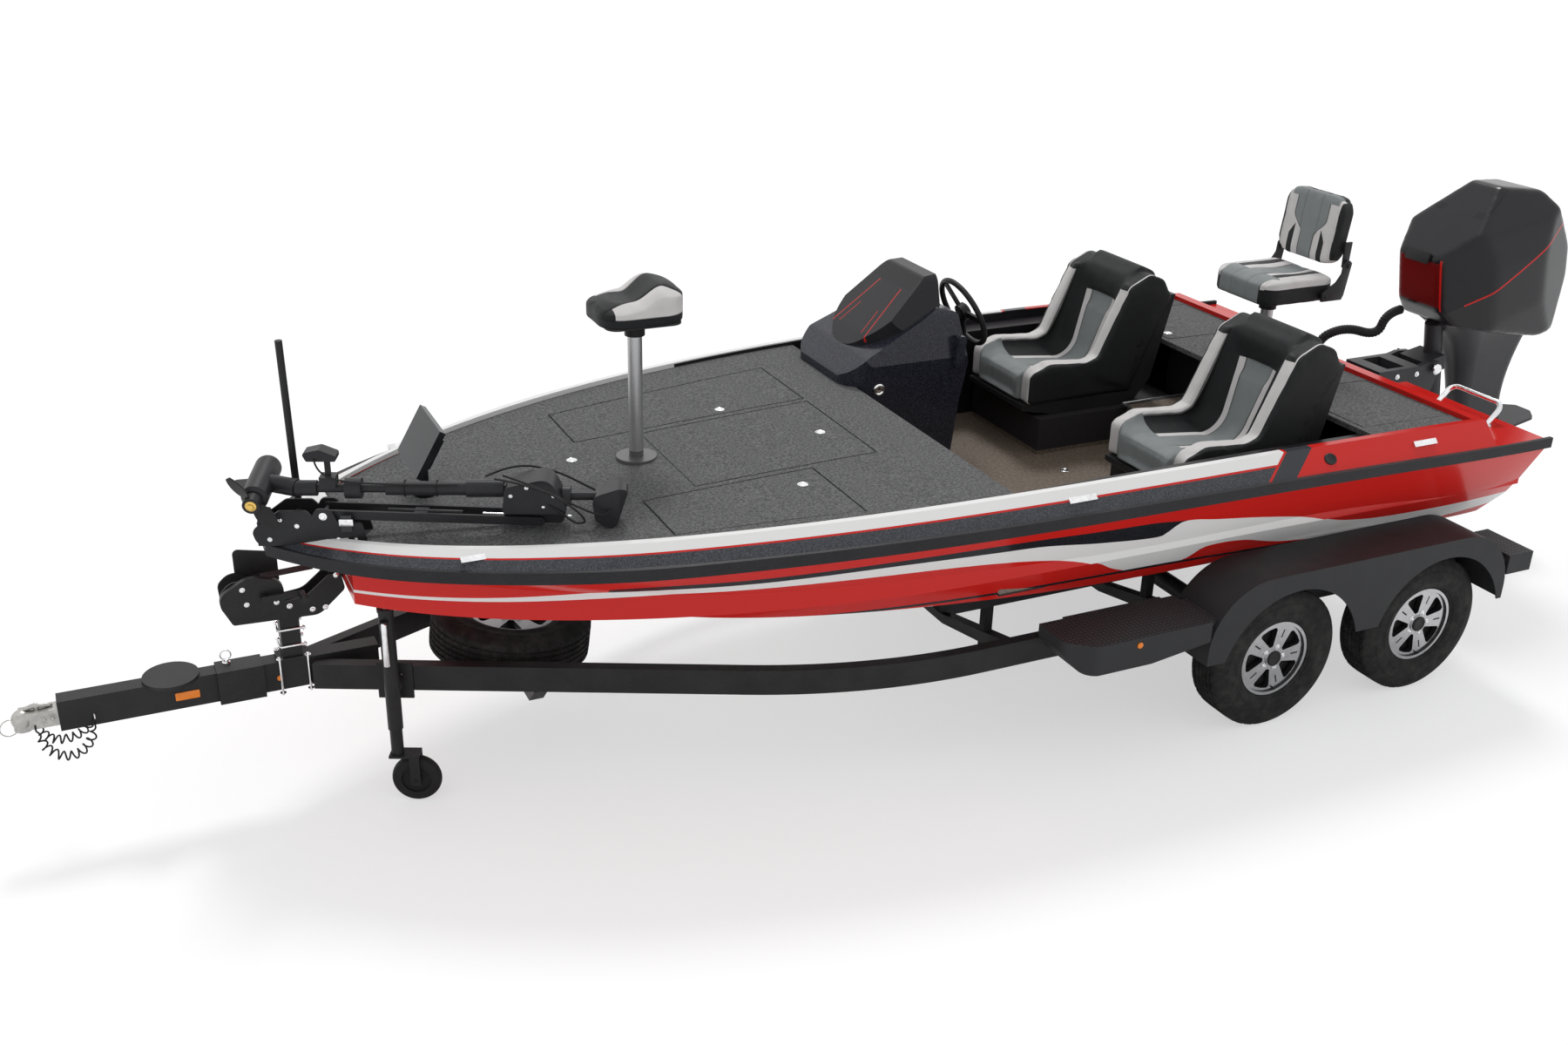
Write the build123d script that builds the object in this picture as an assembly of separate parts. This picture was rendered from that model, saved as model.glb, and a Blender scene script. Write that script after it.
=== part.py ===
"""Bass boat on its tandem-axle trailer, as separate named pieces.

Millimetres. +X points to the bow, +Y to port, +Z up. Every place below is first given
from the stern datum: X forward from it, Y from the centre plane, Z from the ground.
The finished pieces are moved by ORIGIN_X, so that the origin is on the ground under
the middle of the whole length.
"""
import os
from functools import cache
from math import atan2, cos, degrees, radians, sin, sqrt, tan

from build123d import *

# Whole object
ORIGIN_X = 3037.3
GAP = 0.3            # clearance between faces that seat on each other
RUN = 6.0            # clearance round a piece that moves

# Sheer line, a large circle seen from the side
SHEER_R = 50000.0
SHEER_TOP = 1300.0
SHEER_X = 2150.0

# Hull
STERN_X = 430.0
RAIL_DEEP = 40.0
RAIL_SKIRT = 8.0     # how far the rub rail laps down over the hull side
RAIL_THICK = 20.0
LIP = 30.0           # width of the gunwale moulding inside its top edge
CARPET_DROP = 22.0   # carpet below the gunwale edge
DECK_T = 24.0
FLAT_HALF = 60.0     # half width of the running pad on the keel
WAIST = 0.45         # where the side turns, as a share of the way up from the chine
# Sections: station x, half width of gunwale top edge, of rub rail, height of rub rail,
# half width of chine, height of chine, height of keel
SECTIONS = [
    (430, 1100, 1200, 1138, 955, 738, 475),
    (1300, 1115, 1216, 1158, 965, 738, 475),
    (2300, 1115, 1216, 1174, 960, 742, 477),
    (3200, 1085, 1187, 1172, 928, 757, 488),
    (3900, 1013, 1114, 1160, 852, 785, 520),
    (4500, 893, 994, 1140, 725, 830, 590),
    (5000, 725, 830, 1120, 520, 880, 712),
    (5400, 520, 630, 1106, 280, 940, 845),
    (5700, 290, 425, 1100, 120, 1005, 955),
    (5880, 110, 245, 1098, 70, 1050, 1025),
    (5965, 30, 110, 1096, 30, 1070, 1060),
]
CORE_END = 5700.0    # the recessed deck stops here, behind the solid nose
CORE_LOW = 900.0
CORE_HIGH = 1500.0

# Deck and cockpit, from the stern forward
PLATFORM_Z = 1160.0
PLATFORM_T = 40.0
COAMING_AFT = 780.0
COAMING_W = 60.0
AFT_DECK_FRONT = 1400.0
COCKPIT_AFT = 1330.0
COCKPIT_FRONT = 3235.0
COCKPIT_HALF = 965.0
FLOOR_Z = 800.0
FLOOR_T = 12.0
SPLASH_HALF = 300.0
SPLASH_Z = 1000.0
STEP_FRONT = 1720.0
STEP_HALF = 300.0
STEP_TOP = 1010.0

# Lids: name, aft x, forward x, inner y aft, inner y forward, outer y aft, outer y forward,
# floor of the locker below, inset of the locker wall
LIDS = [
    ("lid_port", 3840, 4590, 425, 425, 905, 775, 985, 28),
    ("lid_starboard", 3520, 4640, -320, -275, -800, -650, 985, 28),
    ("lid_centre", 3520, 4350, -290, -250, 395, 395, 900, 28),
    ("lid_aft_port", 850, 1370, 430, 430, 960, 960, 900, 28),
    ("lid_aft_starboard", 850, 1370, -430, -430, -960, -960, 900, 28),
]
LID_GAP = 8.0
KNUCKLE_R = 4.0      # hinge barrel along a lid's edge

# Seats
SEAT_W = 560.0
SEAT_Y = COCKPIT_HALF - SEAT_W / 2 - 85
SEAT_BACK = COCKPIT_AFT + 170
SEAT_FRONT = SEAT_BACK + 810
SEAT_TOP = 1700.0
CUSHION_Z = 1230.0
BOLSTER = 0.17       # width of a side bolster, as a share of the seat
SEAT_BASE_Z = 985.0
AFT_POST = (1140.0, 0.0)
AFT_SEAT_Z = 1595.0
BOW_POST = (4455.0, 0.0)
BOW_SEAT_Z = 1820.0
FOLD_UP = 190.0      # fold hinge of the aft seat above its base
FOLD_X_BACK = -245.0 # and behind its post
POST_R = 30.0

# Helm
CONSOLE_HALF = 310.0
CONSOLE_Y = CONSOLE_HALF + 15 - COCKPIT_HALF
DASH_LOW = (3190.0, 1400.0)     # front and rear end of the console's sloping top
DASH_HIGH = (2790.0, 1590.0)
SCREEN_HALF = 250.0
SCREEN_T = 8.0
WHEEL_CENTRE = (2525.0, -600.0, 1490.0)
WHEEL_R = 175.0
WHEEL_TILT = 25.0
COLUMN_R = 20.0
WALL = 40.0

# Outboard, in its own frame: origin on the tilt axis, upright
TILT_X = 50.0
TILT_Z = 1130.0
TRIM = 11.0          # degrees the motor is tilted up as parked
STEER_X = -110.0
PROP_Z = -760.0
PROP_R = 185.0
TILT_R = 16.0
STEER_R = 22.0
EAR_IN = 94.0
EAR_OUT = 120.0
BARREL_TOP = 40.0
COWL_HALF = 285.0
COWL_SEAM = [(-134.0, 205.0), (-590.0, 30.0)]    # lower edge of the cowl, front to rear
GEAR_R = 60.0
HOSE_R = 25.0

# Bow motor, in its own frame: origin on the arm's pivot, X forward
BOW_MOTOR = (5570.0, 235.0, 1262.0)
BOW_MOTOR_YAW = -22.0
ARM_X = 200.0        # the arm's pivot
ARM_L = 800.0        # its pin in the housing, behind the pivot and below it
ARM_DROP = 28.0
SHAFT_Z = 90.0
POD_X = 440.0
POD_R = 50.0
POD_FRONT = 85.0     # the pod lies across the shaft, its propeller on the port side
POD_BACK = 190.0
POD_TURN = -8.0
BOW_PROP_R = 128.0

# Trailer
RAIL_TOP = 575.0
RAIL_H = 110.0
RAIL_W = 50.0
RAIL_Y = 975.0
RAIL_AFT = 620.0
CROSS_X = (720.0, 1474.0, 2300.0, 3150.0)
BEND_AFT = 3300.0
BEND_FORE = 4280.0
BEND_SLOPE = 0.215
BEND_Y = RAIL_Y - (BEND_FORE - BEND_AFT) * BEND_SLOPE
LEAN = 2 * atan2(RAIL_Y - BEND_Y, BEND_FORE - BEND_AFT)    # how far the fore run is turned in
JOIN_X = 5850.0
TONGUE_W = 76.0
FOLD_X = 6170.0
FOLD_Y = -20.0
FOLD_R = 12.0
FOLD_GAP = 10.0
TONGUE_END = 6790.0
NOSE_X = 6955.0
SOCKET_R = 25.5
SOCKET_LOW = 484.0
SOCKET_DEEP = 36.0
AXLE_X = (1904.0, 1044.0)
WHEEL_Y = 1122.0
TYRE_R = 335.0
TYRE_W = 205.0
RIM_R = 181.0
SPINDLE_R = 22.0
BEAM_AFT = 80.0
BEAM_Z = 420.0
BEAM_R = 42.0
AXLE_Z = 335.0
JACK_X = 5590.0
JACK_Y = 275.0
JACK_TOP = 870.0
JACK_PIVOT_Z = 520.0
CASTER_R = 100.0
CASTER_TRAIL = 70.0
SPARE = (5030.0, 0.0, 530.0)
FENDER_X = (2370.0, 650.0)
FENDER_TOP = 800.0
FENDER_R = 300.0
FENDER_IN = 1020.0
FENDER_OUT = WHEEL_Y + TYRE_W / 2 + 65.5
STEP_X = 690.0       # length of the step in front of a fender
SHEET = 5.0
WINCH = (6010.0, 903.0)
ROLLER = (5728.5, 931.0)
EYE = (5780.0, 985.0)
EYE_DROP = 30.0


def sheer_z(x):
    return SHEER_TOP - SHEER_R + sqrt(SHEER_R ** 2 - (x - SHEER_X) ** 2)


def deck_z(x):
    return sheer_z(x) - CARPET_DROP


def box(x0, x1, y0, y1, z0, z1):
    return Pos((x0 + x1) / 2, (y0 + y1) / 2, (z0 + z1) / 2) * Box(
        abs(x1 - x0), abs(y1 - y0), abs(z1 - z0))


def rod(p, q, r):
    p, q = Vector(*p), Vector(*q)
    return extrude(Plane(origin=p, z_dir=q - p) * Circle(r), amount=(q - p).length)


def outline(rows):
    """A closed face with straight sides: rows of (a, b) or (a, b, radius of that corner)."""
    ends = []
    for i, (a, b, *radius) in enumerate(rows):
        here = Vector(a, b)
        back = (Vector(*rows[i - 1][:2]) - here).normalized()
        ahead = (Vector(*rows[(i + 1) % len(rows)][:2]) - here).normalized()
        if not radius:
            ends.append((here, None, here))
            continue
        half = radians(back.get_angle(ahead)) / 2
        reach = radius[0] / tan(half)
        middle = here + (back + ahead).normalized() * (radius[0] / sin(half) - radius[0])
        ends.append((here + back * reach, middle, here + ahead * reach))
    edges = []
    for i, (start, middle, end) in enumerate(ends):
        if middle is not None:
            edges.append(ThreePointArc(start, middle, end))
        edges.append(Line(end, ends[(i + 1) % len(ends)][0]))
    return make_face(edges)


def prism(rows, axis, low, high):
    """An outline given in the two axes other than axis, extruded from low to high."""
    plane = {
        "x": Plane(origin=(low, 0, 0), x_dir=(0, 1, 0), z_dir=(1, 0, 0)),
        "y": Plane(origin=(0, low, 0), x_dir=(1, 0, 0), z_dir=(0, -1, 0)),
        "z": Plane(origin=(0, 0, low)),
    }[axis]
    way = {"x": (1, 0, 0), "y": (0, 1, 0), "z": (0, 0, 1)}[axis]
    return extrude(plane * outline(rows), amount=high - low, dir=way)


def tube(points, radii, r):
    """A round bar or hose along straight runs joined by arcs."""
    path = FilletPolyline(*points, radius=radii)
    start = Plane(origin=points[0], z_dir=Vector(*points[1]) - Vector(*points[0]))
    return sweep(start * Circle(r), path=path)


def mirrored(rows):
    """Rows (half width, height, radius) of the port half, with their starboard half."""
    return rows + [(-y, *rest) for y, *rest in reversed(rows)]


def both(piece):
    return [piece, mirror(piece, about=Plane.XZ)]


def group(*pieces):
    solids = []
    for piece in pieces:
        solids += piece if isinstance(piece, list) else [piece]
    return Compound([s for piece in solids for s in piece.solids()])


def section(x, half_outline):
    """A closed section at station x from its starboard-to-port half outline."""
    port = [(x, y, z) for y, z in half_outline]
    starboard = [(x, -y, z) for y, z in reversed(half_outline)]
    return make_face(Polyline(*port, *starboard, close=True))


@cache
def full_solid():
    """Hull and gunwale moulding in one loft, before they are parted at the rub rail."""
    faces = []
    for x, gunwale, rail, rail_z, chine, chine_z, keel_z in SECTIONS:
        pad = min(FLAT_HALF, chine / 3)
        waist = chine + WAIST * (rail - chine)
        faces.append(section(x, [
            (pad, keel_z), (chine, chine_z), (waist, chine_z + WAIST * (rail_z - chine_z)),
            (rail - RAIL_THICK, rail_z), (rail - RAIL_THICK, rail_z + RAIL_DEEP), (gunwale, sheer_z(x))]))
    return loft(faces)


def rail_band(low, high):
    """Everything between two heights above the foot of the rub rail."""
    x_aft, x_fore = SECTIONS[0][0], SECTIONS[-1][0]
    line = [(x_aft - 60, SECTIONS[0][3])] + [(row[0], row[3]) for row in SECTIONS] + [(x_fore + 60, SECTIONS[-1][3])]
    lower = Spline(*[(x, -1300, z + low) for x, z in line])
    upper = Spline(*[(x, -1300, z + high) for x, z in line])
    face = make_face([lower, upper, Line(lower @ 0, upper @ 0), Line(lower @ 1, upper @ 1)])
    return extrude(face, amount=2600, dir=(0, 1, 0))


@cache
def hull_solid():
    return full_solid() - rail_band(0, 500)


@cache
def moulding_solid():
    return full_solid() & rail_band(GAP, 500)


def rail_solid():
    """The rub rail's outer form, a strip as deep as the rail all round the boat."""
    faces = []
    for x, gunwale, rail, rail_z, *_ in SECTIONS:
        nose = RAIL_THICK if x == SECTIONS[-1][0] else 0
        faces.append(section(x + nose, [(rail, rail_z - 100), (rail, rail_z + 100)]))
    return loft(faces) & rail_band(-RAIL_SKIRT, RAIL_DEEP)


@cache
def core(inset):
    """The recessed part of the deck: its plan outline, inset from the gunwale's inner wall."""
    plan = [(x, gunwale - LIP - inset, CORE_LOW) for x, gunwale, *_ in SECTIONS if x <= CORE_END]
    port = Spline(*plan)
    starboard = Spline(*[(x, -y, z) for x, y, z in plan])
    outline = make_face([port, starboard, Line(port @ 0, starboard @ 0), Line(port @ 1, starboard @ 1)])
    return extrude(outline, amount=CORE_HIGH - CORE_LOW, dir=(0, 0, 1))


def deck_band(top_drop, thickness, x0, x1):
    """A slab that follows the sheer, from top_drop below it, thickness deep."""
    pts = []
    top = SHEER_R - top_drop
    low = SHEER_TOP - SHEER_R
    steps = 3
    xs = [x0 + (x1 - x0) * i / (steps - 1) for i in range(steps)]
    upper = [(x, 0, low + sqrt(top ** 2 - (x - SHEER_X) ** 2)) for x in xs]
    base = top - thickness
    lower = [(x, 0, low + sqrt(base ** 2 - (x - SHEER_X) ** 2)) for x in xs]
    edges = [
        ThreePointArc(*upper), Line(upper[-1], lower[-1]),
        ThreePointArc(*reversed(lower)), Line(lower[0], upper[0])]
    face = make_face(edges)
    half = 1300
    return extrude(Pos(0, -half, 0) * face, amount=2 * half, dir=(0, 1, 0))


def lid_outline(lid, inset):
    name, x0, x1, in0, in1, out0, out1, floor, wall = lid
    side = 1 if out0 > 0 and abs(out0) > abs(in0) else -1
    if in0 < 0 < out0:
        side = 1
    return [
        (x0 + inset, in0 + side * inset), (x1 - inset, in1 + side * inset),
        (x1 - inset, out1 - side * inset), (x0 + inset, out0 - side * inset)]


def make_hull():
    body = hull_solid()
    body += core(0) & deck_band(CARPET_DROP + DECK_T + GAP, 330, STERN_X, CORE_END)
    body -= stern_well(PLATFORM_Z - PLATFORM_T)
    body -= box(COCKPIT_AFT, COCKPIT_FRONT, -COCKPIT_HALF, COCKPIT_HALF, FLOOR_Z - FLOOR_T, 1500)
    body -= box(STERN_X - 20, COAMING_AFT - 10, -SPLASH_HALF, SPLASH_HALF, SPLASH_Z, 1500)
    for lid in LIDS:
        body -= prism(lid_outline(lid, lid[-1]), "z", lid[-2], 1500)
    rake = [(STERN_X - 10, 700), (STERN_X - 10, 830), (STERN_X, 830), (STERN_X + 130, 735), (STERN_X + 130, 400),
            (STERN_X - 10, 400)]
    body -= prism(rake, "y", -1300, 1300)
    return body


def stern_well(low):
    return core(0) & box(STERN_X - 20, COAMING_AFT + COAMING_W, -1300, 1300, low, 1500)


def make_moulding():
    body = moulding_solid() - core(0)
    coaming = stern_well(PLATFORM_Z - PLATFORM_T + GAP) & deck_band(0, 400, STERN_X, COAMING_AFT + 2 * COAMING_W)
    body += coaming
    body -= box(STERN_X - 20, COAMING_AFT, -1300, 1300, PLATFORM_Z, 1500)
    body -= box(STERN_X - 20, COAMING_AFT - 10, -SPLASH_HALF, SPLASH_HALF, 900, 1200)
    return body


def make_rub_rail():
    return rail_solid() - full_solid()


@cache
def decked():
    """Everything that a deck fitting can stand on: moulding and carpet, one solid."""
    ring = moulding_solid() + make_rub_rail() - core(0)
    return ring + (core(0) & deck_band(CARPET_DROP - GAP, 200, STERN_X, CORE_END))


def make_fore_deck():
    slab = core(GAP) & deck_band(CARPET_DROP, DECK_T, COCKPIT_FRONT, CORE_END)
    for lid in LIDS[:3]:
        slab -= prism(lid_outline(lid, 0), "z", 1000, 1500)
    return slab


def make_aft_deck():
    slab = core(GAP) & deck_band(
        CARPET_DROP, DECK_T, COAMING_AFT + COAMING_W + GAP, AFT_DECK_FRONT)
    for lid in LIDS[3:]:
        slab -= prism(lid_outline(lid, 0), "z", 1000, 1500)
    return slab


def make_lid(lid):
    name, x0, x1, in0, in1, out0, out1, floor, wall = lid
    panel = prism(lid_outline(lid, LID_GAP), "z", 1000, 1500) & deck_band(
        CARPET_DROP, DECK_T, x0 - 10, x1 + 10)
    aft, fore = lid_outline(lid, LID_GAP)[3], lid_outline(lid, LID_GAP)[2]
    if in0 < 0 < out0:
        aft = lid_outline(lid, LID_GAP)[1]
    ends = [(x, y, deck_z(x) - KNUCKLE_R) for x, y in (aft, fore)]
    return panel + rod(*ends, KNUCKLE_R)


def make_cockpit_liner():
    floor = box(COCKPIT_AFT + 1, COCKPIT_FRONT - 1, -COCKPIT_HALF + 1, COCKPIT_HALF - 1,
                FLOOR_Z - FLOOR_T + GAP, FLOOR_Z)
    body = floor + prism([
        (COCKPIT_AFT + 1, -STEP_HALF), (STEP_FRONT, -STEP_HALF, 60), (STEP_FRONT, STEP_HALF, 60),
        (COCKPIT_AFT + 1, STEP_HALF)], "z", FLOOR_Z, STEP_TOP)
    for side in (-1, 1):
        body += box(COCKPIT_AFT + 40, SEAT_FRONT - 90, side * (STEP_HALF + 1), side * (COCKPIT_HALF - 40),
                    FLOOR_Z, SEAT_BASE_Z - GAP)
    return body


def dash_z(x):
    """The console's sloping top, which the windscreen stands on."""
    (x0, z0), (x1, z1) = DASH_LOW, DASH_HIGH
    return z0 + (x - x0) * (z1 - z0) / (x1 - x0)


@cache
def console_form():
    """Where the console's side, plan and front outlines meet."""
    foot = FLOOR_Z + GAP
    nose = DASH_LOW[0] + 100
    side = prism([
        (nose, 1262), (nose, 1310, 35), (*DASH_LOW, 90), (*DASH_HIGH, 40), (2690, 1566, 30), (2645, 1330, 60),
        (2680, 1150, 60), (2720, foot), (3150, foot), (3222, 1100, 60), (3222, 1262)],
        "y", CONSOLE_Y - 2 * CONSOLE_HALF, CONSOLE_Y + 2 * CONSOLE_HALF)
    plan = prism([
        (2600, CONSOLE_Y - CONSOLE_HALF), (nose + 2, CONSOLE_Y - CONSOLE_HALF, 144),
        (nose + 2, CONSOLE_Y + CONSOLE_HALF, 144), (2600, CONSOLE_Y + CONSOLE_HALF)], "z", 700, 1700)
    front = Pos(0, CONSOLE_Y, 0) * prism(mirrored([
        (CONSOLE_HALF + 3, 700), (CONSOLE_HALF + 3, 1350, 100), (CONSOLE_HALF - 60, DASH_HIGH[1] + 5, 70)]), "x", 2500, 3400)
    return side & plan & front


def make_console():
    body = console_form() - (decked() & box(COCKPIT_FRONT - 13, 3400, -1100, 1100, 1000, 1300))
    knees = [(2600, 700), (2600, 1300), (2800, 1400, 60), (3000, 1200, 60), (3040, 700)]
    inner, outer = CONSOLE_Y + CONSOLE_HALF, CONSOLE_Y - CONSOLE_HALF
    body -= prism(knees, "y", outer + WALL, inner - WALL)
    lever = prism([(2690, 1320, 8), (2735, 1320, 8), (2720, 1470, 14), (2680, 1470, 14)], "y", inner + 8, inner + 32)
    return body + lever + box(2700, 2730, inner - 5, inner + 30, 1325, 1355) - column_bore()


def column_bore():
    return wheel_place() * Pos(0, 0, 60) * Cylinder(COLUMN_R + 0.05, 400)


def wheel_place():
    """Frame of the steering wheel, its Z forward and down along the column."""
    return Pos(*WHEEL_CENTRE) * Rot(0, 90 + WHEEL_TILT, 0)


def make_windscreen():
    """A curved smoked screen, open behind and below."""
    def form(inset):
        half = SCREEN_HALF - inset
        low = 1000 if inset else None
        base_x = DASH_LOW[0] - 4 - inset
        rear = 2770 - 80 * bool(inset)
        foot = [(rear, low or dash_z(rear) + 0.5), (base_x, low or dash_z(base_x) + 0.5)]
        side = prism(foot + [(3130 - inset, 1470 - inset, 160), (2840 - inset, 1730 - inset, 40), (rear, 1736 - inset)],
                     "y", -1200, 0)
        plan = prism([
            (2600, CONSOLE_Y - half), (base_x, CONSOLE_Y - half, half * 0.92), (base_x, CONSOLE_Y + half, half * 0.92),
            (2600, CONSOLE_Y + half)], "z", 900, 1900)
        front = Pos(0, CONSOLE_Y, 0) * prism(mirrored([(half, 900), (half, 1500, 60), (half - 70, 1745 - inset, 70)]),
                                             "x", 2500, 3400)
        return side & plan & front
    return form(0) - form(SCREEN_T)


def make_steering_wheel():
    wheel = Torus(WHEEL_R, 14) + Cylinder(45, 36)
    for turn in (90, 210, 330):
        wheel += Rot(0, 0, turn) * Pos(WHEEL_R / 2, 0, 0) * Box(WHEEL_R, 34, 12)
    wheel += Pos(0, 0, 110) * Cylinder(COLUMN_R, 220)
    return wheel_place() * wheel


def make_seat_shells():
    shells = []
    for side in (-1, 1):
        y0, y1 = side * SEAT_Y - SEAT_W / 2, side * SEAT_Y + SEAT_W / 2
        shells.append(prism([
            (SEAT_FRONT - 10, SEAT_BASE_Z + 70), (SEAT_FRONT - 10, SEAT_BASE_Z + 40, 12),
            (SEAT_FRONT - 200, SEAT_BASE_Z, 90), (SEAT_BACK + 130, SEAT_BASE_Z, 70),
            (SEAT_BACK + 30, SEAT_BASE_Z + 120, 90), (SEAT_BACK - 70, SEAT_TOP - 160),
            (SEAT_BACK - 40, SEAT_TOP - 160), (SEAT_BACK + 160, SEAT_BASE_Z + 70)], "y", y0 + 30, y1 - 30))
    return group(shells)


def make_seat_pads():
    """Each bucket seat: a centre part between two higher side bolsters."""
    # Rows: share of the width it starts at, where it ends, how far it stands proud
    parts = [(0.0, BOLSTER, 45), (BOLSTER, 1 - BOLSTER, 0), (1 - BOLSTER, 1.0, 45)]
    low = SEAT_BASE_Z + 71
    pads = []
    for side in (-1, 1):
        edge = side * SEAT_Y - SEAT_W / 2
        pad = None
        for start, end, proud in parts:
            rows = [
                (SEAT_FRONT - proud / 2, low, 15), (SEAT_FRONT - proud / 2, CUSHION_Z - 30 + proud / 2, 50),
                (SEAT_FRONT - 100 - proud, CUSHION_Z - 10 + proud, 60),
                (SEAT_BACK + 330 + 1.5 * proud, CUSHION_Z - 50 + 1.2 * proud, 90),
                (SEAT_BACK + 185 + proud, SEAT_TOP - 60 - proud / 2, 50), (SEAT_BACK + 110, SEAT_TOP - 0.6 * proud, 35),
                (SEAT_BACK + 20, SEAT_TOP - 40 - proud / 2, 35), (SEAT_BACK - 39, SEAT_TOP - 160),
                (SEAT_BACK + 161, low)]
            part = prism(rows, "y", edge + start * SEAT_W, edge + end * SEAT_W)
            pad = part if pad is None else pad + part
        pads.append(pad)
    return group(pads)


def make_seat_posts():
    posts = []
    for (x, y), top in ((AFT_POST, AFT_SEAT_Z), (BOW_POST, BOW_SEAT_Z)):
        low = deck_z(x) - 20
        post = rod((x, y, low), (x, y, top - 60), POST_R) + rod((x, y, low), (x, y, deck_z(x) + 12), 85)
        posts.append(post - decked())
    return group(posts)


def make_bow_seat():
    """A leaning seat: domed, rounded in plan, on its swivel."""
    x, y = BOW_POST
    pad = prism([(x - 215, y - 210, 110), (x + 215, y - 190, 110), (x + 215, y + 190, 110), (x - 215, y + 210, 110)],
                "z", BOW_SEAT_Z, BOW_SEAT_Z + 170)
    pad &= prism([
        (x - 217, BOW_SEAT_Z + 10, 22), (x + 217, BOW_SEAT_Z + 10, 22), (x + 217, BOW_SEAT_Z + 100, 66),
        (x, BOW_SEAT_Z + 150, 250), (x - 217, BOW_SEAT_Z + 110, 66)], "y", y - 230, y + 230)
    pad += rod((x, y, BOW_SEAT_Z), (x, y, BOW_SEAT_Z + 11), 90)
    return pad + rod((x, y, BOW_SEAT_Z - 60 + GAP), (x, y, BOW_SEAT_Z + 1), 42)


def make_aft_seat():
    x, y = AFT_POST
    low = AFT_SEAT_Z
    pad = prism([(x - 240, -205, 60), (x + 215, -225, 90), (x + 215, 225, 90), (x - 240, 205, 60)], "z", low + 12, low + 150)
    pad &= prism([(x - 250, low + 12, 20), (x + 195, low + 12, 20), (x + 225, low + 70, 50), (x + 185, low + 128, 50),
                  (x - 20, low + 108, 300), (x - 250, low + 116, 30)], "y", -240, 240)
    pan = prism([(x - 200, -150, 30), (x + 120, -150, 30), (x + 120, 150, 30), (x - 200, 150, 30)], "z", low, low + 13)
    body = pad + pan + rod((x, y, low - 60 + GAP), (x, y, low + 1), 42)
    hx, hz = x + FOLD_X_BACK, low + FOLD_UP
    for s in (-1, 1):
        ear = prism([
            (hx - 22, hz + 22, 20), (hx + 22, hz + 22, 20), (hx + 30, hz - 50, 30), (x - 110, low + 60, 12),
            (x - 110, low + 20, 12), (x - 245, low + 20, 15)], "y", *sorted((s * 226, s * 238)))
        lug = box(x - 190, x - 130, s * 190, s * 228, low + 30, low + 58)
        body += ear + lug + rod((hx, s * 238, hz), (hx, s * 214, hz), 7.95)
    return body


def make_aft_seat_back():
    x = AFT_POST[0]
    low = AFT_SEAT_Z
    hx, hz = x + FOLD_X_BACK, low + FOLD_UP
    back = prism([
        (x - 262, low + 165, 20), (x - 195, low + 165, 20), (x - 165, low + 420, 150), (x - 188, low + 515, 40),
        (x - 262, low + 515, 40), (x - 285, low + 400, 150)], "y", -215, 215)
    back &= prism(mirrored([(165, low + 160, 30), (212, low + 260, 120), (205, low + 520, 110)]), "x", x - 400, x - 100)
    for s in (-1, 1):
        arm = prism([(hx - 24, hz - 24, 22), (hx + 24, hz - 24, 22), (hx + 20, hz + 110, 12), (hx - 20, hz + 110, 12)],
                    "y", *sorted((s * 209, s * 221)))
        link = box(hx - 16, hx + 16, *sorted((s * 180, s * 212)), hz + 60, hz + 100)
        back += arm + link - rod((hx, s * 205, hz), (hx, s * 240, hz), 8)
    return back


def make_deck_fittings():
    """Pull-up cleats on the gunwale's slope, the stern hand rail and the bow eye."""
    cleats = []
    for gunwale, rail, rail_z, x in ((570, 679, 1108, 5300), (1094, 1195, 1173, 3000), (1114, 1215, 1156, 1200)):
        slope = atan2(sheer_z(x) - rail_z - RAIL_DEEP, rail - RAIL_THICK - gunwale)
        y = (gunwale + rail - RAIL_THICK) / 2
        z = (sheer_z(x) + rail_z + RAIL_DEEP) / 2
        cleat = Pos(x, y, z) * Rot(-degrees(slope), 0, 0) * Box(130, 26, 26) - moulding_solid()
        cleats += both(cleat)
    aft, fore, inner, outer = 470, 560, 620, 930
    foot = PLATFORM_Z + GAP
    hoop = tube([(fore, inner, foot), (aft, inner, foot + 95), (aft, outer, foot + 95), (fore, outer, foot)], [45, 45], 12)
    hoop += rod((fore, inner, foot), (fore, inner, foot + 6), 26) + rod((fore, outer, foot), (fore, outer, foot + 6), 26)
    hoop -= box(400, 700, 500, 1000, 1000, foot)
    x, z = EYE
    eye = tube([(x, -22, z + 60), (x, -22, z - EYE_DROP), (x, 22, z - EYE_DROP), (x, 22, z + 60)], [20, 20], 5)
    return group(cleats, hoop, eye - hull_solid())


def make_bow_pole():
    x, y = 5830.0, -20.0
    z = 1150.0
    pole = rod((x, y, z), (x + 10, y, z + 735), 14) + rod((x, y, z), (x, y, z + 45), 30)
    return pole - decked()


def make_bow_display():
    """A chart screen on a two-armed stand."""
    x, y = 5330.0, -60.0
    z = deck_z(x) - 10
    foot = rod((x, y, z), (x, y, z + 190), 14) + rod((x, y, z), (x, y, z + 22), 50)
    foot += Pos(x, y, z + 185) * Cylinder(24, 60, rotation=(90, 0, 0))
    screen = Pos(x + 6, y, z + 230) * Rot(0, -30, 0) * (Box(26, 330, 210) + Pos(-26, 0, 0) * Box(30, 220, 130))
    return foot + screen - decked()


# Outboard
def motor_place():
    return Pos(TILT_X, 0, TILT_Z) * Rot(0, TRIM, 0)


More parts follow.
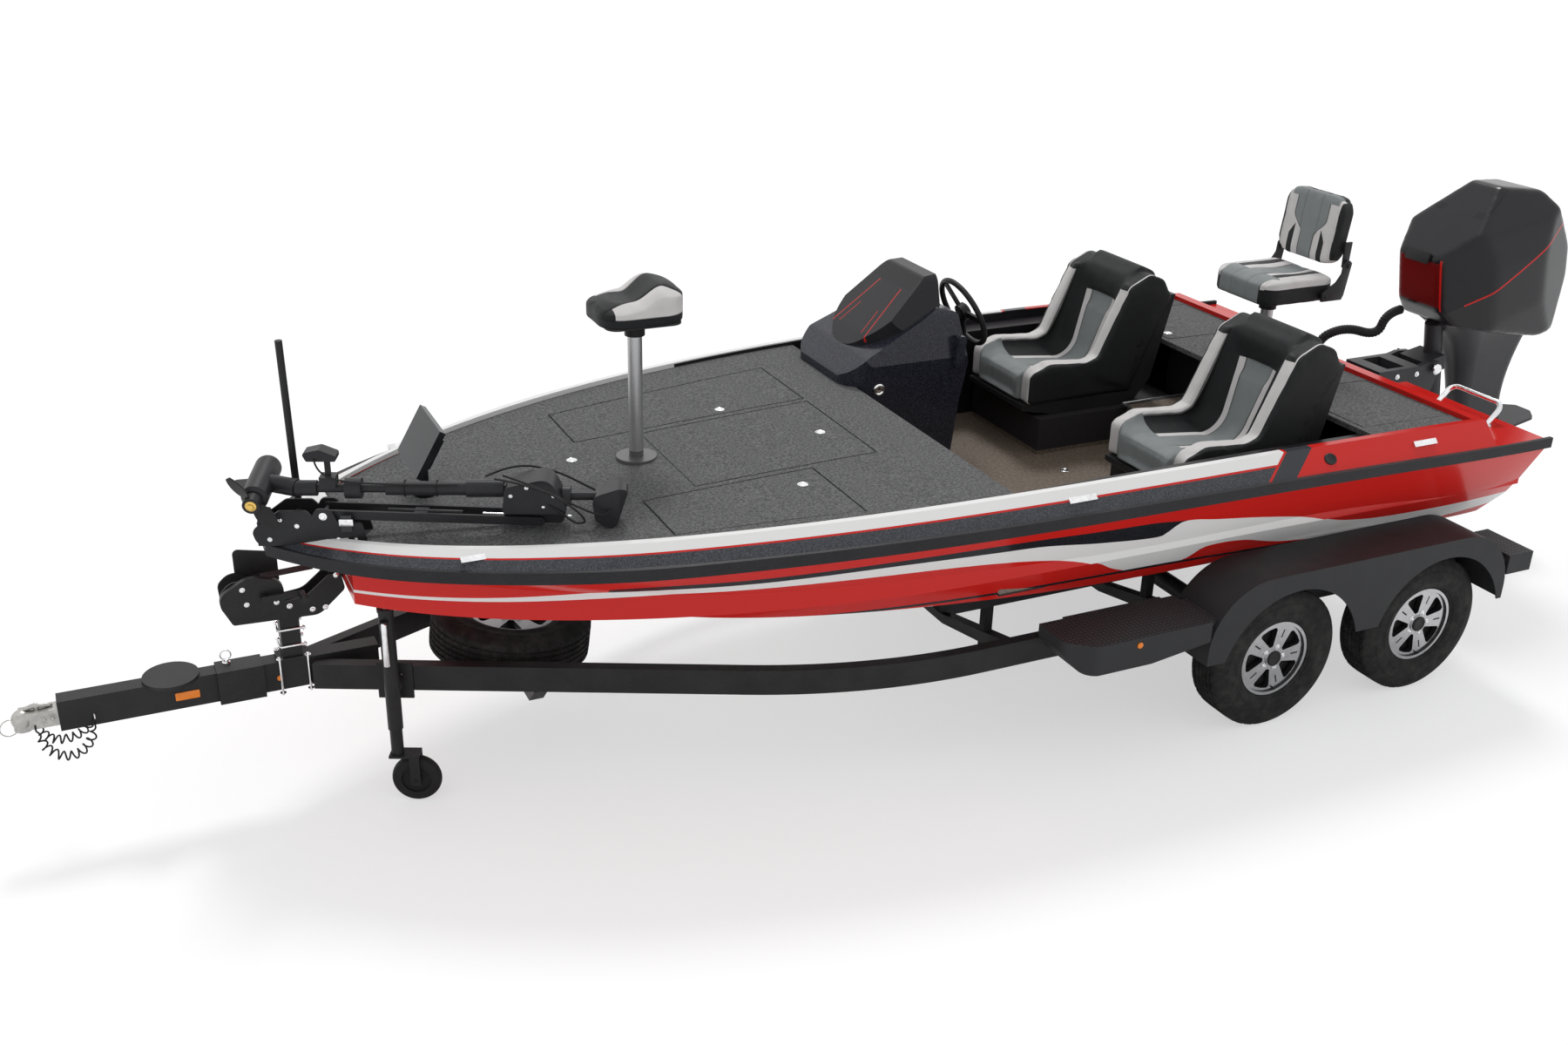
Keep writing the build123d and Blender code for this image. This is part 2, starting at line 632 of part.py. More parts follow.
def make_ob_bracket():
    plate = box(TILT_X + 95, STERN_X - GAP, -EAR_OUT, EAR_OUT, 860, 1150)
    plate -= box(TILT_X + 180, STERN_X - 80, -EAR_OUT + 30, EAR_OUT - 30, 800, 1300)
    body = plate
    for s in (-1, 1):
        body += prism([
            (TILT_X + 100, 1150), (TILT_X + 40, 1165), (TILT_X - 35, 1160), (TILT_X - 40, 1095),
            (TILT_X + 40, 860), (TILT_X + 100, 860)], "y", *sorted((s * EAR_IN, s * EAR_OUT)))
    body -= rod((TILT_X, -200, TILT_Z), (TILT_X, 200, TILT_Z), TILT_R + 0.05)
    return body


def make_ob_swivel():
    tube = rod((0, -EAR_OUT - 20, 0), (0, EAR_OUT + 20, 0), TILT_R)
    barrel = rod((STEER_X, 0, -330), (STEER_X, 0, BARREL_TOP), 48)
    yoke = box(STEER_X, 35, -EAR_IN + RUN, EAR_IN - RUN, -50, 30)
    bore = rod((STEER_X, 0, -400), (STEER_X, 0, 200), STEER_R + 0.05)
    return motor_place() * (tube + barrel + yoke - bore)


def make_ob_cowl():
    """Faceted cowl, where its side, plan and front outlines meet, down to a sloping seam."""
    side = prism(COWL_SEAM + [
        (-720, 30, 30), (-862, 300, 40), (-872, 430, 30), (-660, 800, 50), (-425, 868, 25), (20, 606, 25),
        (8, 330, 40), (-70, 215, 30)], "y", -COWL_HALF, COWL_HALF)
    plan = prism([
        (25, -135, 30), (25, 135, 30), (-230, COWL_HALF - 8, 120), (-560, COWL_HALF, 200), (-875, 165, 70),
        (-875, -165, 70), (-560, -COWL_HALF, 200), (-230, 8 - COWL_HALF, 120)], "z", 0, 900)
    front = prism(mirrored([
        (COWL_HALF - 45, 0), (COWL_HALF, 260, 80), (COWL_HALF - 5, 520, 60), (COWL_HALF - 35, 690, 20),
        (95, 872, 20)]), "x", -900, 60)
    return motor_place() * (side & plan & front)


def make_ob_leg():
    # Rows: height, front x, aft x, half width
    rows = [
        (215, -78, -800, 215), (70, -190, -740, 140), (-150, -250, -640, 90), (-550, -290, -600, 56)]
    faces = []
    for z, front, aft, half in rows:
        faces.append(Plane(origin=((front + aft) / 2, 0, z)) * RectangleRounded(front - aft, 2 * half, half * 0.8))
    leg = loft(faces)
    seam = [(x, z - GAP) for x, z in COWL_SEAM]
    leg -= prism([(200, seam[0][1]), *seam, (-1000, seam[-1][1]), (-1000, 600), (200, 600)], "y", -400, 400)
    leg += prism([(-270, -30), (-270, 30), (-420, 115, 60), (-760, 115, 30), (-810, 50, 30), (-810, -50, 30),
                  (-760, -115, 30), (-420, -115, 60)], "z", -560, -545)
    leg += prism([(-300, -555), (-580, -555), (-600, PROP_Z - 40), (-320, PROP_Z - 40)], "y", -28, 28)
    leg += rod((-300, 0, PROP_Z), (-420, 0, PROP_Z), GEAR_R) + Pos(-300, 0, PROP_Z) * Sphere(GEAR_R)
    leg += Pos(-530, 0, PROP_Z) * Rot(0, -90, 0) * Cone(GEAR_R - 0.5, 52, 220)
    leg += prism([(-330, PROP_Z - 40), (-570, PROP_Z - 40), (-610, PROP_Z - 190, 20), (-500, PROP_Z - 190, 40)], "y", -8, 8)
    leg += rod((STEER_X, 0, BARREL_TOP + GAP), (STEER_X, 0, 188), 46)
    leg += rod((STEER_X, 0, -320), (STEER_X, 0, 188), STEER_R)
    return motor_place() * leg


def blade(chords, thickness):
    """A twisted blade along +Z: rows of (radius, chord, pitch in degrees from the disc's plane)."""
    faces = []
    for r, chord, pitch in chords:
        way = (sin(radians(pitch)), cos(radians(pitch)), 0)
        faces.append(Plane(origin=(0, 0, r), x_dir=way, z_dir=(0, 0, 1))
                     * RectangleRounded(chord, thickness, 0.4 * thickness))
    return loft(faces)


def make_ob_propeller():
    hub = rod((-640.5, 0, PROP_Z), (-790, 0, PROP_Z), 52)
    prop = hub - rod((-760, 0, PROP_Z), (-800, 0, PROP_Z), 44)
    shape = blade([(46, 120, 52), (110, 165, 36), (PROP_R, 70, 24)], 10)
    for k in range(4):
        prop += Pos(-712, 0, PROP_Z) * Rot(90 * k, 0, 0) * shape
    return motor_place() * prop


def make_rigging_hose():
    """The black hose from the splash well into the front of the cowl."""
    end = motor_place() * Pos(26, -100, 275)
    x, y, z = end.position
    return tube([(590, -220, SPLASH_Z + GAP), (590, -220, 1230), (440, -165, 1318), (262, -100, 1262),
                 (225, -100, 1385), (x, y, z)], [90, 80, 38, 30], HOSE_R)


# Bow motor
def bow_place():
    return Pos(*BOW_MOTOR) * Rot(0, 0, BOW_MOTOR_YAW)


def make_bm_base():
    """Side plates with a pod cradle in front and the arm's ears behind."""
    side = [
        (40, -122, 20), (452, -122, 40), (470, -60, 30), (362, 22, 30), (262, 22, 20), (216, -26, 12), (60, -26, 12)]
    floor = box(60, 450, -62, 62, -122, -108)
    base = floor
    for s in (-1, 1):
        base += prism(side, "y", *sorted((s * 52, s * 62)))
        ear = prism([(ARM_X - 60, -40), (ARM_X + 60, -40), (ARM_X + 28, 28, 26), (ARM_X - 28, 28, 26)],
                    "y", *sorted((s * 50, s * 62)))
        base += ear
    for low, high in ((300, 326), (420, 446)):
        base += prism([(low, -112), (high, -112), (high, -12, 8), (low, -12, 8)], "y", -55, 55)
    base -= rod((ARM_X, -80, 0), (ARM_X, 80, 0), 8)
    return bow_place() * base - decked()


def make_bm_arm():
    """Two parallel bars from the base's pivot back to the housing's pin."""
    slope = degrees(atan2(ARM_DROP, ARM_L))
    reach = sqrt(ARM_L ** 2 + ARM_DROP ** 2)
    arm = rod((0, -66, 0), (0, 66, 0), 7.95)
    for s in (-1, 1):
        bar = prism([(20, -17, 16), (20, 17, 16), (-reach - 20, 17, 16), (-reach - 20, -17, 16)],
                    "y", *sorted((s * 33, s * 45)))
        arm += bar
    arm += box(-380, -330, -40, 40, -12, 12)
    arm -= rod((-reach, -80, 0), (-reach, 80, 0), 8)
    return bow_place() * Pos(ARM_X, 0, 0) * Rot(0, -slope, 0) * arm


def make_bm_motor():
    """The stowed motor: head, housing, shaft with its sleeves, and the pod across its end."""
    pin_x, pin_z = ARM_X - ARM_L, -ARM_DROP
    shaft_z = SHAFT_Z
    body = prism([(-460, -40, 15), (-490, 100, 30), (-640, 140, 50), (-705, 15, 50), (-690, -42, 20), (-500, -42, 15)],
                 "y", -26, 26)
    body += prism([(-465, 12, 15), (-478, 118, 25), (-645, 156, 55), (-706, 35, 30), (-700, 12, 10)], "y", -66, 66)
    body += rod((-500, 0, shaft_z), (300, 0, shaft_z), 17)
    for x0, x1, r in ((-470, -330, 34), (-330, -30, 27), (60, 120, 40), (225, 305, 30)):
        body += rod((x0, 0, shaft_z), (x1, 0, shaft_z), r)
    body += rod((-720, 0, shaft_z - 30), (-690, 0, shaft_z - 30), 40)
    body += rod((-825, 0, shaft_z - 30), (-700, 0, shaft_z - 30), 17)
    head = prism([(-812, -20, 25), (-800, 75, 40), (-905, 110, 30), (-940, 95, 20), (-885, -66, 30)], "y", -55, 55)
    head &= prism([(-780, -58, 30), (-780, 58, 30), (-900, 58, 40), (-945, 30, 30), (-945, -30, 30), (-900, -58, 40)],
                  "z", -200, 200)
    body += head
    pod = rod((POD_X, -POD_BACK, 0), (POD_X, POD_FRONT, 0), POD_R)
    pod = fillet(pod.edges().filter_by(GeomType.CIRCLE).sort_by(Axis.Y)[0], POD_R * 0.8)
    pod = chamfer(pod.edges().filter_by(GeomType.CIRCLE).sort_by(Axis.Y)[-1], 12)
    neck = rod((300, 0, 0), (POD_X - 5, -45, 0), 34)
    fin = prism([(POD_X + 30, 40, 0.1), (POD_X + 40, -60, 0.1), (POD_X + 105, -50, 15), (POD_X + 95, -5, 20)], "z", -5, 5)
    body += Pos(0, 0, shaft_z) * Rot(POD_TURN, 0, 0) * (pod + neck + fin)
    body += rod((pin_x, -50, pin_z), (pin_x, 50, pin_z), 7.95)
    clamp = box(150, 210, -30, 30, shaft_z + 10, shaft_z + 52) + box(170, 190, -8, 8, shaft_z + 50, shaft_z + 120)
    sonar = prism([(140, shaft_z + 118, 8), (250, shaft_z + 118, 8), (265, shaft_z + 150, 10), (200, shaft_z + 165, 15),
                   (140, shaft_z + 140, 8)], "y", -32, 32)
    return bow_place() * (body + clamp + sonar)


def make_bm_propeller():
    shape = blade([(28, 44, 40), (75, 62, 30), (BOW_PROP_R, 22, 20)], 6)
    prop = rod((0, 0, 0), (48, 0, 0), 32)
    for k in range(2):
        prop += Pos(24, 0, 0) * Rot(180 * k + 35, 0, 0) * shape
    return bow_place() * Pos(POD_X, 0, SHAFT_Z) * Rot(POD_TURN, 0, 0) * Pos(0, POD_FRONT + 1, 0) * Rot(0, 0, 90) * prop


# Trailer
def make_rail():
    """Port rail: straight aft part, one arc, and a straight run in to the tongue."""
    z = RAIL_TOP - RAIL_H / 2
    path = Wire([
        Line((RAIL_AFT, RAIL_Y, z), (BEND_AFT, RAIL_Y, z)),
        TangentArc((BEND_AFT, RAIL_Y, z), (BEND_FORE, BEND_Y, z), tangent=(1, 0, 0)),
        Line((BEND_FORE, BEND_Y, z), (JOIN_X, rail_y(JOIN_X), z))])
    end = Plane(origin=(RAIL_AFT, RAIL_Y, z), x_dir=(0, 1, 0), z_dir=(1, 0, 0))
    body = sweep(end * Rectangle(RAIL_W, RAIL_H), path=path)
    return body - box(JOIN_X - 400, JOIN_X + 400, -500, TONGUE_W / 2 + GAP, 300, 700)


def rail_y(x):
    """Middle of the port rail on its run in to the tongue."""
    return BEND_Y - (x - BEND_FORE) * tan(LEAN)


@cache
def make_crossmembers():
    beams = []
    inner = RAIL_Y - RAIL_W / 2 - GAP
    outline = [(-inner, 560), (-inner, 500), (-450, 402), (450, 402), (inner, 500), (inner, 560), (430, 442),
               (-430, 442)]
    for x in CROSS_X:
        beams.append(prism(outline, "x", x - 25, x + 25) - hull_solid())
    x, top = SPARE[0], RAIL_TOP - RAIL_H - GAP
    reach = rail_y(x)
    cradle = prism([
        (-reach, top), (-reach, top - 12), (-350, 375), (350, 375), (reach, top - 12), (reach, top),
        (reach - 60, top), (344, 415), (-344, 415), (60 - reach, top)], "x", x - 30, x + 30)
    cradle += rod((x, 0, 400), (x, 0, SPARE[2]), 30)
    beams.append(cradle - make_spare())
    return group(beams)


def make_tongue():
    low, high = RAIL_TOP - RAIL_H, RAIL_TOP + 15
    body = box(JOIN_X - 260, FOLD_X - 32, -TONGUE_W / 2, TONGUE_W / 2, low, high)
    for z0, z1 in ((low - 8, low), (high, high + 8)):
        body += box(FOLD_X - 130, FOLD_X + 45, -TONGUE_W / 2 - 8, TONGUE_W / 2 + FOLD_GAP + 8, z0, z1)
    body += box(FOLD_X - 130, FOLD_X + 45, TONGUE_W / 2 + FOLD_GAP, TONGUE_W / 2 + FOLD_GAP + 8, low - 8, high + 8)
    body += box(FOLD_X - 130, FOLD_X - 40, TONGUE_W / 2, TONGUE_W / 2 + FOLD_GAP, low, high)
    body += rod((FOLD_X, FOLD_Y, low - 8), (FOLD_X, FOLD_Y, high + 14), FOLD_R)
    face = RAIL_W / 2 + GAP - (JACK_Y - rail_y(JACK_X)) * cos(LEAN)
    stud = jack_place() * (box(-70, 70, face, -56, RAIL_TOP - RAIL_H - 30, RAIL_TOP + 20)
                           + rod((0, -58, JACK_PIVOT_Z), (0, -28, JACK_PIVOT_Z), 17.95))
    return group(body, stud)


def make_tongue_front():
    low, high = RAIL_TOP - RAIL_H + GAP, RAIL_TOP + 15 - GAP
    body = box(FOLD_X - 20, TONGUE_END, -TONGUE_W / 2, TONGUE_W / 2, low, high)
    body += rod((6380, 0, high - 1), (6380, 0, high + 12), 105)
    return body - rod((FOLD_X, FOLD_Y, low - 9), (FOLD_X, FOLD_Y, high + 9), FOLD_R + 0.05)


def make_coupler():
    body = box(TONGUE_END + GAP, NOSE_X - 30, -32, 32, 490, 560)
    body += Pos(NOSE_X - 40, 0, 525) * Sphere(40)
    body += rod((NOSE_X - 40, 0, SOCKET_LOW), (NOSE_X - 40, 0, 530), 34)
    return body - rod((NOSE_X - 40, 0, SOCKET_LOW - 10), (NOSE_X - 40, 0, SOCKET_LOW + SOCKET_DEEP), SOCKET_R)


def make_winch_post():
    """Post, carrier plates with the winch drum and its gear cover, and the bow roller."""
    post = box(5885, 5960, -38, 38, RAIL_TOP + 15 + GAP, 830)
    post += box(5860, 5985, -48, 48, RAIL_TOP + 15 + GAP, RAIL_TOP + 30)
    plate = [
        (6130, 785, 15), (5804, 772, 60), (5697, 866, 25), (5709, 935, 12), (5752, 940, 12), (5850, 860, 80),
        (5950, 850, 30), (6100, 990, 60), (6165, 930, 40), (6160, 850, 40)]
    body = post
    for s in (-1, 1):
        body += prism(plate, "y", *sorted((s * 37, s * 44)))
    x, z = WINCH
    body += rod((x, -39, z), (x, 39, z), 52)
    cover = prism([(5930, 850, 50), (6050, 812, 90), (6168, 850, 60), (6172, 930, 50), (6060, 992, 80), (5935, 960, 50)],
                  "y", 50, 74)
    body += cover + rod((x, 40, z), (x, 52, z), 20) + rod((x, 74, z), (x, 96, z), 14)
    body += prism([(x - 150, z - 13, 12), (x + 12, z - 13, 12), (x + 12, z + 13, 12), (x - 150, z + 13, 12)], "y", 96, 104)
    body += rod((x - 140, 100, z), (x - 140, 170, z), 15)
    body += prism([(5932, 905, 10), (6095, 905, 10), (6095, 1066, 20), (5932, 1030, 20)], "y", -50, -43)
    x, z = ROLLER
    body += rod((x, -39, z), (x, 39, z), 10)
    return body


def make_bow_roller():
    """Hourglass rubber roller that the keel rests against."""
    x, z = ROLLER
    half, waist, lip = 36 - GAP, 22, 28
    profile = make_face([
        Line((x, -half, z + 10.3), (x, -half, z + lip)),
        ThreePointArc((x, -half, z + lip), (x, 0, z + waist), (x, half, z + lip)),
        Line((x, half, z + lip), (x, half, z + 10.3)), Line((x, half, z + 10.3), (x, -half, z + 10.3))])
    return revolve(profile, Axis((x, 0, z), (0, 1, 0))) - hull_solid()


def make_winch_strap():
    """Flat strap from the top of the drum to the eye under the bow, with its hook."""
    x, z = WINCH
    far, height = EYE[0] + 30, EYE[1] - EYE_DROP + 9 + GAP
    strap = prism([(x - 4, z + 52 + GAP), (x - 4, z + 55 + GAP), (far, height + 2), (far, height - 1)], "y", -25, 25)
    tip = EYE[0] - 16
    hook = tube([(far + 8, 0, height), (tip, 0, height), (tip, 0, height - 22), (tip + 18, 0, height - 22)], [8, 8], 4)
    return strap + hook


def jack_place():
    return Pos(JACK_X, JACK_Y, 0) * Rot(0, 0, -degrees(LEAN))


def make_jack_tube():
    shell = rod((0, 0, 330), (0, 0, JACK_TOP - 14), 30) + rod((0, 0, JACK_TOP - 14), (0, 0, JACK_TOP), 34)
    shell += rod((0, -54, JACK_PIVOT_Z), (0, 0, JACK_PIVOT_Z), 36)
    shell -= rod((0, 0, 320), (0, 0, JACK_TOP - 20), 25.5)
    shell -= rod((0, -60, JACK_PIVOT_Z), (0, -27, JACK_PIVOT_Z), 18)
    crank = box(-14, 14, 20, 52, JACK_TOP - 60, JACK_TOP - 40)
    crank += rod((0, 46, JACK_TOP - 240), (0, 46, JACK_TOP - 44), 8) + rod((0, 46, JACK_TOP - 240), (0, 46, JACK_TOP - 140), 13)
    return jack_place() * (shell + crank)


def make_jack_leg():
    leg = rod((0, 0, 215), (0, 0, 690), 25)
    fork = box(-CASTER_TRAIL - 20, 30, -36, 36, 206, 216)
    for s in (-1, 1):
        ear = box(-CASTER_TRAIL - 20, -CASTER_TRAIL + 20, s * 28, s * 36, 80, 206)
        fork += ear - rod((-CASTER_TRAIL, s * 20, CASTER_R), (-CASTER_TRAIL, s * 40, CASTER_R), 8)
    return jack_place() * (leg + fork)


def make_jack_wheel():
    x, half = -CASTER_TRAIL, 22
    wheel = revolve(make_face([
        Line((x, -half, CASTER_R), (x, -half, CASTER_R + 62)), Line((x, -half, CASTER_R + 62), (x, -half, 2 * CASTER_R - 8)),
        ThreePointArc((x, -half, 2 * CASTER_R - 8), (x, 0, 2 * CASTER_R), (x, half, 2 * CASTER_R - 8)),
        Line((x, half, 2 * CASTER_R - 8), (x, half, CASTER_R)), Line((x, half, CASTER_R), (x, -half, CASTER_R))]),
        Axis((x, 0, CASTER_R), (0, 1, 0)))
    for s in (-1, 1):
        wheel -= rod((x, s * 12, CASTER_R), (x, s * 30, CASTER_R), 60) - rod((x, s * 5, CASTER_R), (x, s * 40, CASTER_R), 22)
    axle = rod((x, -38, CASTER_R), (x, 38, CASTER_R), 7.95)
    return jack_place() * (wheel + axle)


def tyre():
    w = TYRE_W / 2
    profile = [
        (RIM_R, -w + 22), (RIM_R + 40, -w), (TYRE_R - 55, -w), (TYRE_R, -w + 32), (TYRE_R, w - 32),
        (TYRE_R - 55, w), (RIM_R + 40, w), (RIM_R, w - 22)]
    face = make_face(Polyline(*[(r, 0, z) for r, z in profile], close=True))
    return revolve(face, Axis.Z)


def rim(bored=True):
    """Barrel, five-spoked face and hub."""
    w = TYRE_W / 2 - 24
    barrel = Cylinder(RIM_R - GAP, 2 * w) - Cylinder(RIM_R - 14, 2 * w + 2)
    barrel += Pos(0, 0, -40) * (Cylinder(RIM_R - 10, 12) - Cylinder(RIM_R - 45, 14))
    disc = Pos(0, 0, w - 24) * Cylinder(RIM_R - 10, 26)
    window = prism([(58, -9, 5), (146, -52, 14), (152, 0, 60), (146, 52, 14), (58, 9, 5)], "z", w - 60, w + 20)
    for k in range(5):
        disc -= Rot(0, 0, 72 * k) * window
    disc -= Pos(0, 0, w + 2) * Cone(20, 90, 22)
    hub = Pos(0, 0, 20) * Cylinder(42, 110)
    if bored:
        bore = Pos(0, 0, -10) * Cylinder(SPINDLE_R + 0.05, 100)
        hub -= bore
        disc -= bore
    return barrel + disc + hub


def hub_place(x, side):
    return Pos(x, side * WHEEL_Y, AXLE_Z) * Rot(-90 * side, 0, 0)


def make_axles():
    """Torsion axles: a beam under the rails, an arm inside each rim, and its spindle."""
    parts = []
    inner = WHEEL_Y - TYRE_W / 2 + 26 + RUN
    for x in AXLE_X:
        beam = rod((x + BEAM_AFT, -inner - 4, BEAM_Z), (x + BEAM_AFT, inner + 4, BEAM_Z), BEAM_R)
        for y in (-RAIL_Y, RAIL_Y):
            beam += box(x + BEAM_AFT - 60, x + BEAM_AFT + 60, y - 25, y + 25, BEAM_Z, RAIL_TOP - RAIL_H - GAP)
        for s in (-1, 1):
            beam += prism([(x - 28, 305), (x + 20, 300), (x + BEAM_AFT + 30, BEAM_Z - 22), (x + BEAM_AFT, BEAM_Z + 38),
                           (x - 28, 365)], "y", *sorted((s * (inner - 22), s * inner)))
            beam += rod((x, s * (inner - 5), AXLE_Z), (x, s * (WHEEL_Y + 30), AXLE_Z), SPINDLE_R)
        parts.append(beam)
    return group(parts)


def make_bunks():
    """Carpeted boards cut to the hull bottom, on posts down to the crossmembers."""
    parts = []
    beams = make_crossmembers()
    for y, z in ((420.0, 582.0), (760.0, 682.0)):
        board = Pos(2000, y, z - 10) * Rot(16, 0, 0) * Box(2700, 90, 60) - hull_solid()
        posts = [box(x - 20, x + 20, y - 20, y + 20, 430, z - 30) - beams - board for x in CROSS_X]
        parts.append(board)
        parts += posts
    return group(*[both(p) for p in parts])


def make_spare():
    place = Pos(*SPARE) * Rot(0, -7, 0)
    return place * group(tyre(), rim(False))


def make_fenders():
    """A folded sheet fender over each pair of wheels, with a tread step at each end."""
    def shape(inset, low):
        fore, aft, radius = FENDER_X[0] - inset, FENDER_X[1] + inset, FENDER_R - inset
        return prism([(fore, low), (fore, FENDER_TOP - inset, radius), (aft, FENDER_TOP - inset, radius), (aft, low)],
                     "y", FENDER_IN - 10 * bool(inset), FENDER_OUT - inset)
    fender = shape(0, 440) - shape(SHEET, 400)
    for x in AXLE_X:
        fender -= rod((x, FENDER_OUT - 20, AXLE_Z), (x, FENDER_OUT + 20, AXLE_Z), TYRE_R + 45)
    low, high = 560, 655
    fore, aft = FENDER_X

    def step(inset):
        end, outer = fore + STEP_X - inset, FENDER_OUT - inset
        plan = prism([(fore + GAP, FENDER_IN - inset), (end, FENDER_IN - inset), (end, outer - 90, 60),
                      (end - 110, outer, 60), (fore + GAP, outer)], "z", 400, high - inset)
        side = prism([(fore + GAP, high), (fore + GAP, low - inset), (fore + 300, low - 40 - inset, 60),
                      (end - 60, low - 40 - inset, 60), (end, low + 40, 20), (end, high)], "y", 900, 1400)
        return plan & side
    front = step(0) - step(SHEET)
    front += box(fore + 60, fore + 560, RAIL_Y + RAIL_W / 2 + GAP, FENDER_IN + 60, high - 40, high - SHEET + 1)
    rear = box(aft - 150, aft - GAP, FENDER_IN, FENDER_OUT, low, high)
    rear += box(RAIL_AFT + 2, aft - 2, RAIL_Y + RAIL_W / 2 + GAP, FENDER_IN + 10, low - 60, low + 12)
    joiner = box(aft - 30, aft + 45, FENDER_IN + 20, FENDER_OUT - 20, low + 20, high - 20)
    joiner += box(fore - 60, fore + 60, FENDER_IN + 40, FENDER_OUT - 20, high - 30, high - SHEET + 1)
    return group(both(fender + front + rear + joiner))


def make_safety_cables():
    """Two coiled safety cables from the tongue's eyes to the coupler's sides."""
    cables = []
    for s in (-1, 1):
        y = s * (TONGUE_W / 2 + 5 + GAP)
        points = [(TONGUE_END - 120, y, 500), (TONGUE_END - 90, y + s * 12, 425), (TONGUE_END - 20, y + s * 16, 385),
                  (TONGUE_END + 60, y + s * 10, 400), (TONGUE_END + 95, s * (37 + GAP), 470), (TONGUE_END + 90, s * (37 + GAP), 515)]
        cables.append(tube(points, [25, 40, 40, 40], 5))
    return group(cables)


def make_lights():
    back = FENDER_X[1] - 150 - GAP
    lamp = box(back - 8, back, FENDER_OUT - 110, FENDER_OUT - 20, 590, 640)
    return group(both(lamp))


NODES = {
    "hull": make_hull,
    "deck_moulding": make_moulding,
    "rub_rail": make_rub_rail,
    "fore_deck": make_fore_deck,
    "aft_deck": make_aft_deck,
    "cockpit_liner": make_cockpit_liner,
    "console": make_console,
    "windscreen": make_windscreen,
    "steering_wheel": make_steering_wheel,
    "seat_shells": make_seat_shells,
    "seat_pads": make_seat_pads,
    "seat_posts": make_seat_posts,
    "bow_seat": make_bow_seat,
    "aft_seat": make_aft_seat,
    "aft_seat_back": make_aft_seat_back,
    "deck_fittings": make_deck_fittings,
    "bow_pole": make_bow_pole,
    "bow_display": make_bow_display,
    "outboard_bracket": make_ob_bracket,
    "outboard_swivel": make_ob_swivel,
    "outboard_cowl": make_ob_cowl,
    "outboard_leg": make_ob_leg,
    "outboard_propeller": make_ob_propeller,
    "rigging_hose": make_rigging_hose,
    "bow_motor_base": make_bm_base,
    "bow_motor_arm": make_bm_arm,
    "bow_motor": make_bm_motor,
    "bow_motor_propeller": make_bm_propeller,
    "frame_rails": lambda: group(both(make_rail())),
    "crossmembers": make_crossmembers,
    "tongue": make_tongue,
    "tongue_front": make_tongue_front,
    "coupler": make_coupler,
    "winch_post": make_winch_post,
    "winch_strap": make_winch_strap,
    "bow_roller": make_bow_roller,
    "safety_cables": make_safety_cables,
    "jack_tube": make_jack_tube,
    "jack_leg": make_jack_leg,
    "jack_wheel": make_jack_wheel,
    "axles": make_axles,
    "bunks": make_bunks,
    "spare_wheel": make_spare,
    "fenders": make_fenders,
    "tail_lights": make_lights,
}
for lid in LIDS:
    NODES[lid[0]] = (lambda chosen: lambda: make_lid(chosen))(lid)
for i, x in enumerate(AXLE_X):
    for side, label in ((1, "port"), (-1, "starboard")):
        tag = f"{('front', 'rear')[i]}_{label}"
        NODES[f"tyre_{tag}"] = (lambda p: lambda: p * tyre())(hub_place(x, side))
        NODES[f"rim_{tag}"] = (lambda p: lambda: p * rim())(hub_place(x, side))

if __name__ == "__main__":
    import time
    os.makedirs("parts", exist_ok=True)
    for name, make in NODES.items():
        began = time.time()
        piece = Pos(-ORIGIN_X, 0, 0) * make()
        export_step(piece, f"parts/{name}.step")
        print(name, round(time.time() - began, 2), piece.bounding_box())
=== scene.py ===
"""Finishes, upholstery, tread, fittings, floor, light and camera of the bass boat on its trailer."""
from math import cos, hypot, pi, radians, sin, tau

import bmesh
import bpy
from mathutils import Matrix, Vector


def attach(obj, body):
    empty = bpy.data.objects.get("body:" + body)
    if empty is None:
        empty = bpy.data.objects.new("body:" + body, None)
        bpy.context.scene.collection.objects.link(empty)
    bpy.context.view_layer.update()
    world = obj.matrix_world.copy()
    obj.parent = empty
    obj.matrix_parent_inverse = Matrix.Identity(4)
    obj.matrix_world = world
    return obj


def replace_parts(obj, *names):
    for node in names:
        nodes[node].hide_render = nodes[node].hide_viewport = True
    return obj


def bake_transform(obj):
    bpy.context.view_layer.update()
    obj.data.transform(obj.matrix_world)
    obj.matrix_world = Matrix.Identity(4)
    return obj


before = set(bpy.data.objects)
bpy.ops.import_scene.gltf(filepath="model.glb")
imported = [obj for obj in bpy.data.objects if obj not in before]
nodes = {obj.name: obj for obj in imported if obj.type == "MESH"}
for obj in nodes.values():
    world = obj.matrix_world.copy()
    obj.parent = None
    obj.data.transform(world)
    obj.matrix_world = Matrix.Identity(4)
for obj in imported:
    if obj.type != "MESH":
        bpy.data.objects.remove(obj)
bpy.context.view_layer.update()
scene = bpy.context.scene

ORIGIN = 3037.3      # millimetres from the stern datum to the frame's origin
LENGTH = 6.2         # stations run from 0 to here, in metres
HEIGHT = 2           # heights on the hull run from 0 to here, in metres
UP = Vector((0, 0, 1))


def at(x, y, z):
    """A point given in millimetres from the stern datum, the centre plane and the ground."""
    return Vector(((x - ORIGIN) / 1000, y / 1000, z / 1000))


def turned(axis, degrees_):
    return Matrix.Rotation(radians(degrees_), 4, axis)


def frame_at(x, y, z, *turns):
    place = Matrix.Translation(at(x, y, z))
    for turn in turns:
        place = place @ turn
    return place


def facing(x, y, z, side):
    """A place whose Z points out sideways, in a piece's own frame."""
    return Matrix.Translation((x, y, z)) @ turned("X", -90 * side)


def sideways(x, y, z, side):
    """A place whose Z points out sideways, y millimetres off the centre plane."""
    return frame_at(x, side * y, z, turned("X", -90 * side))


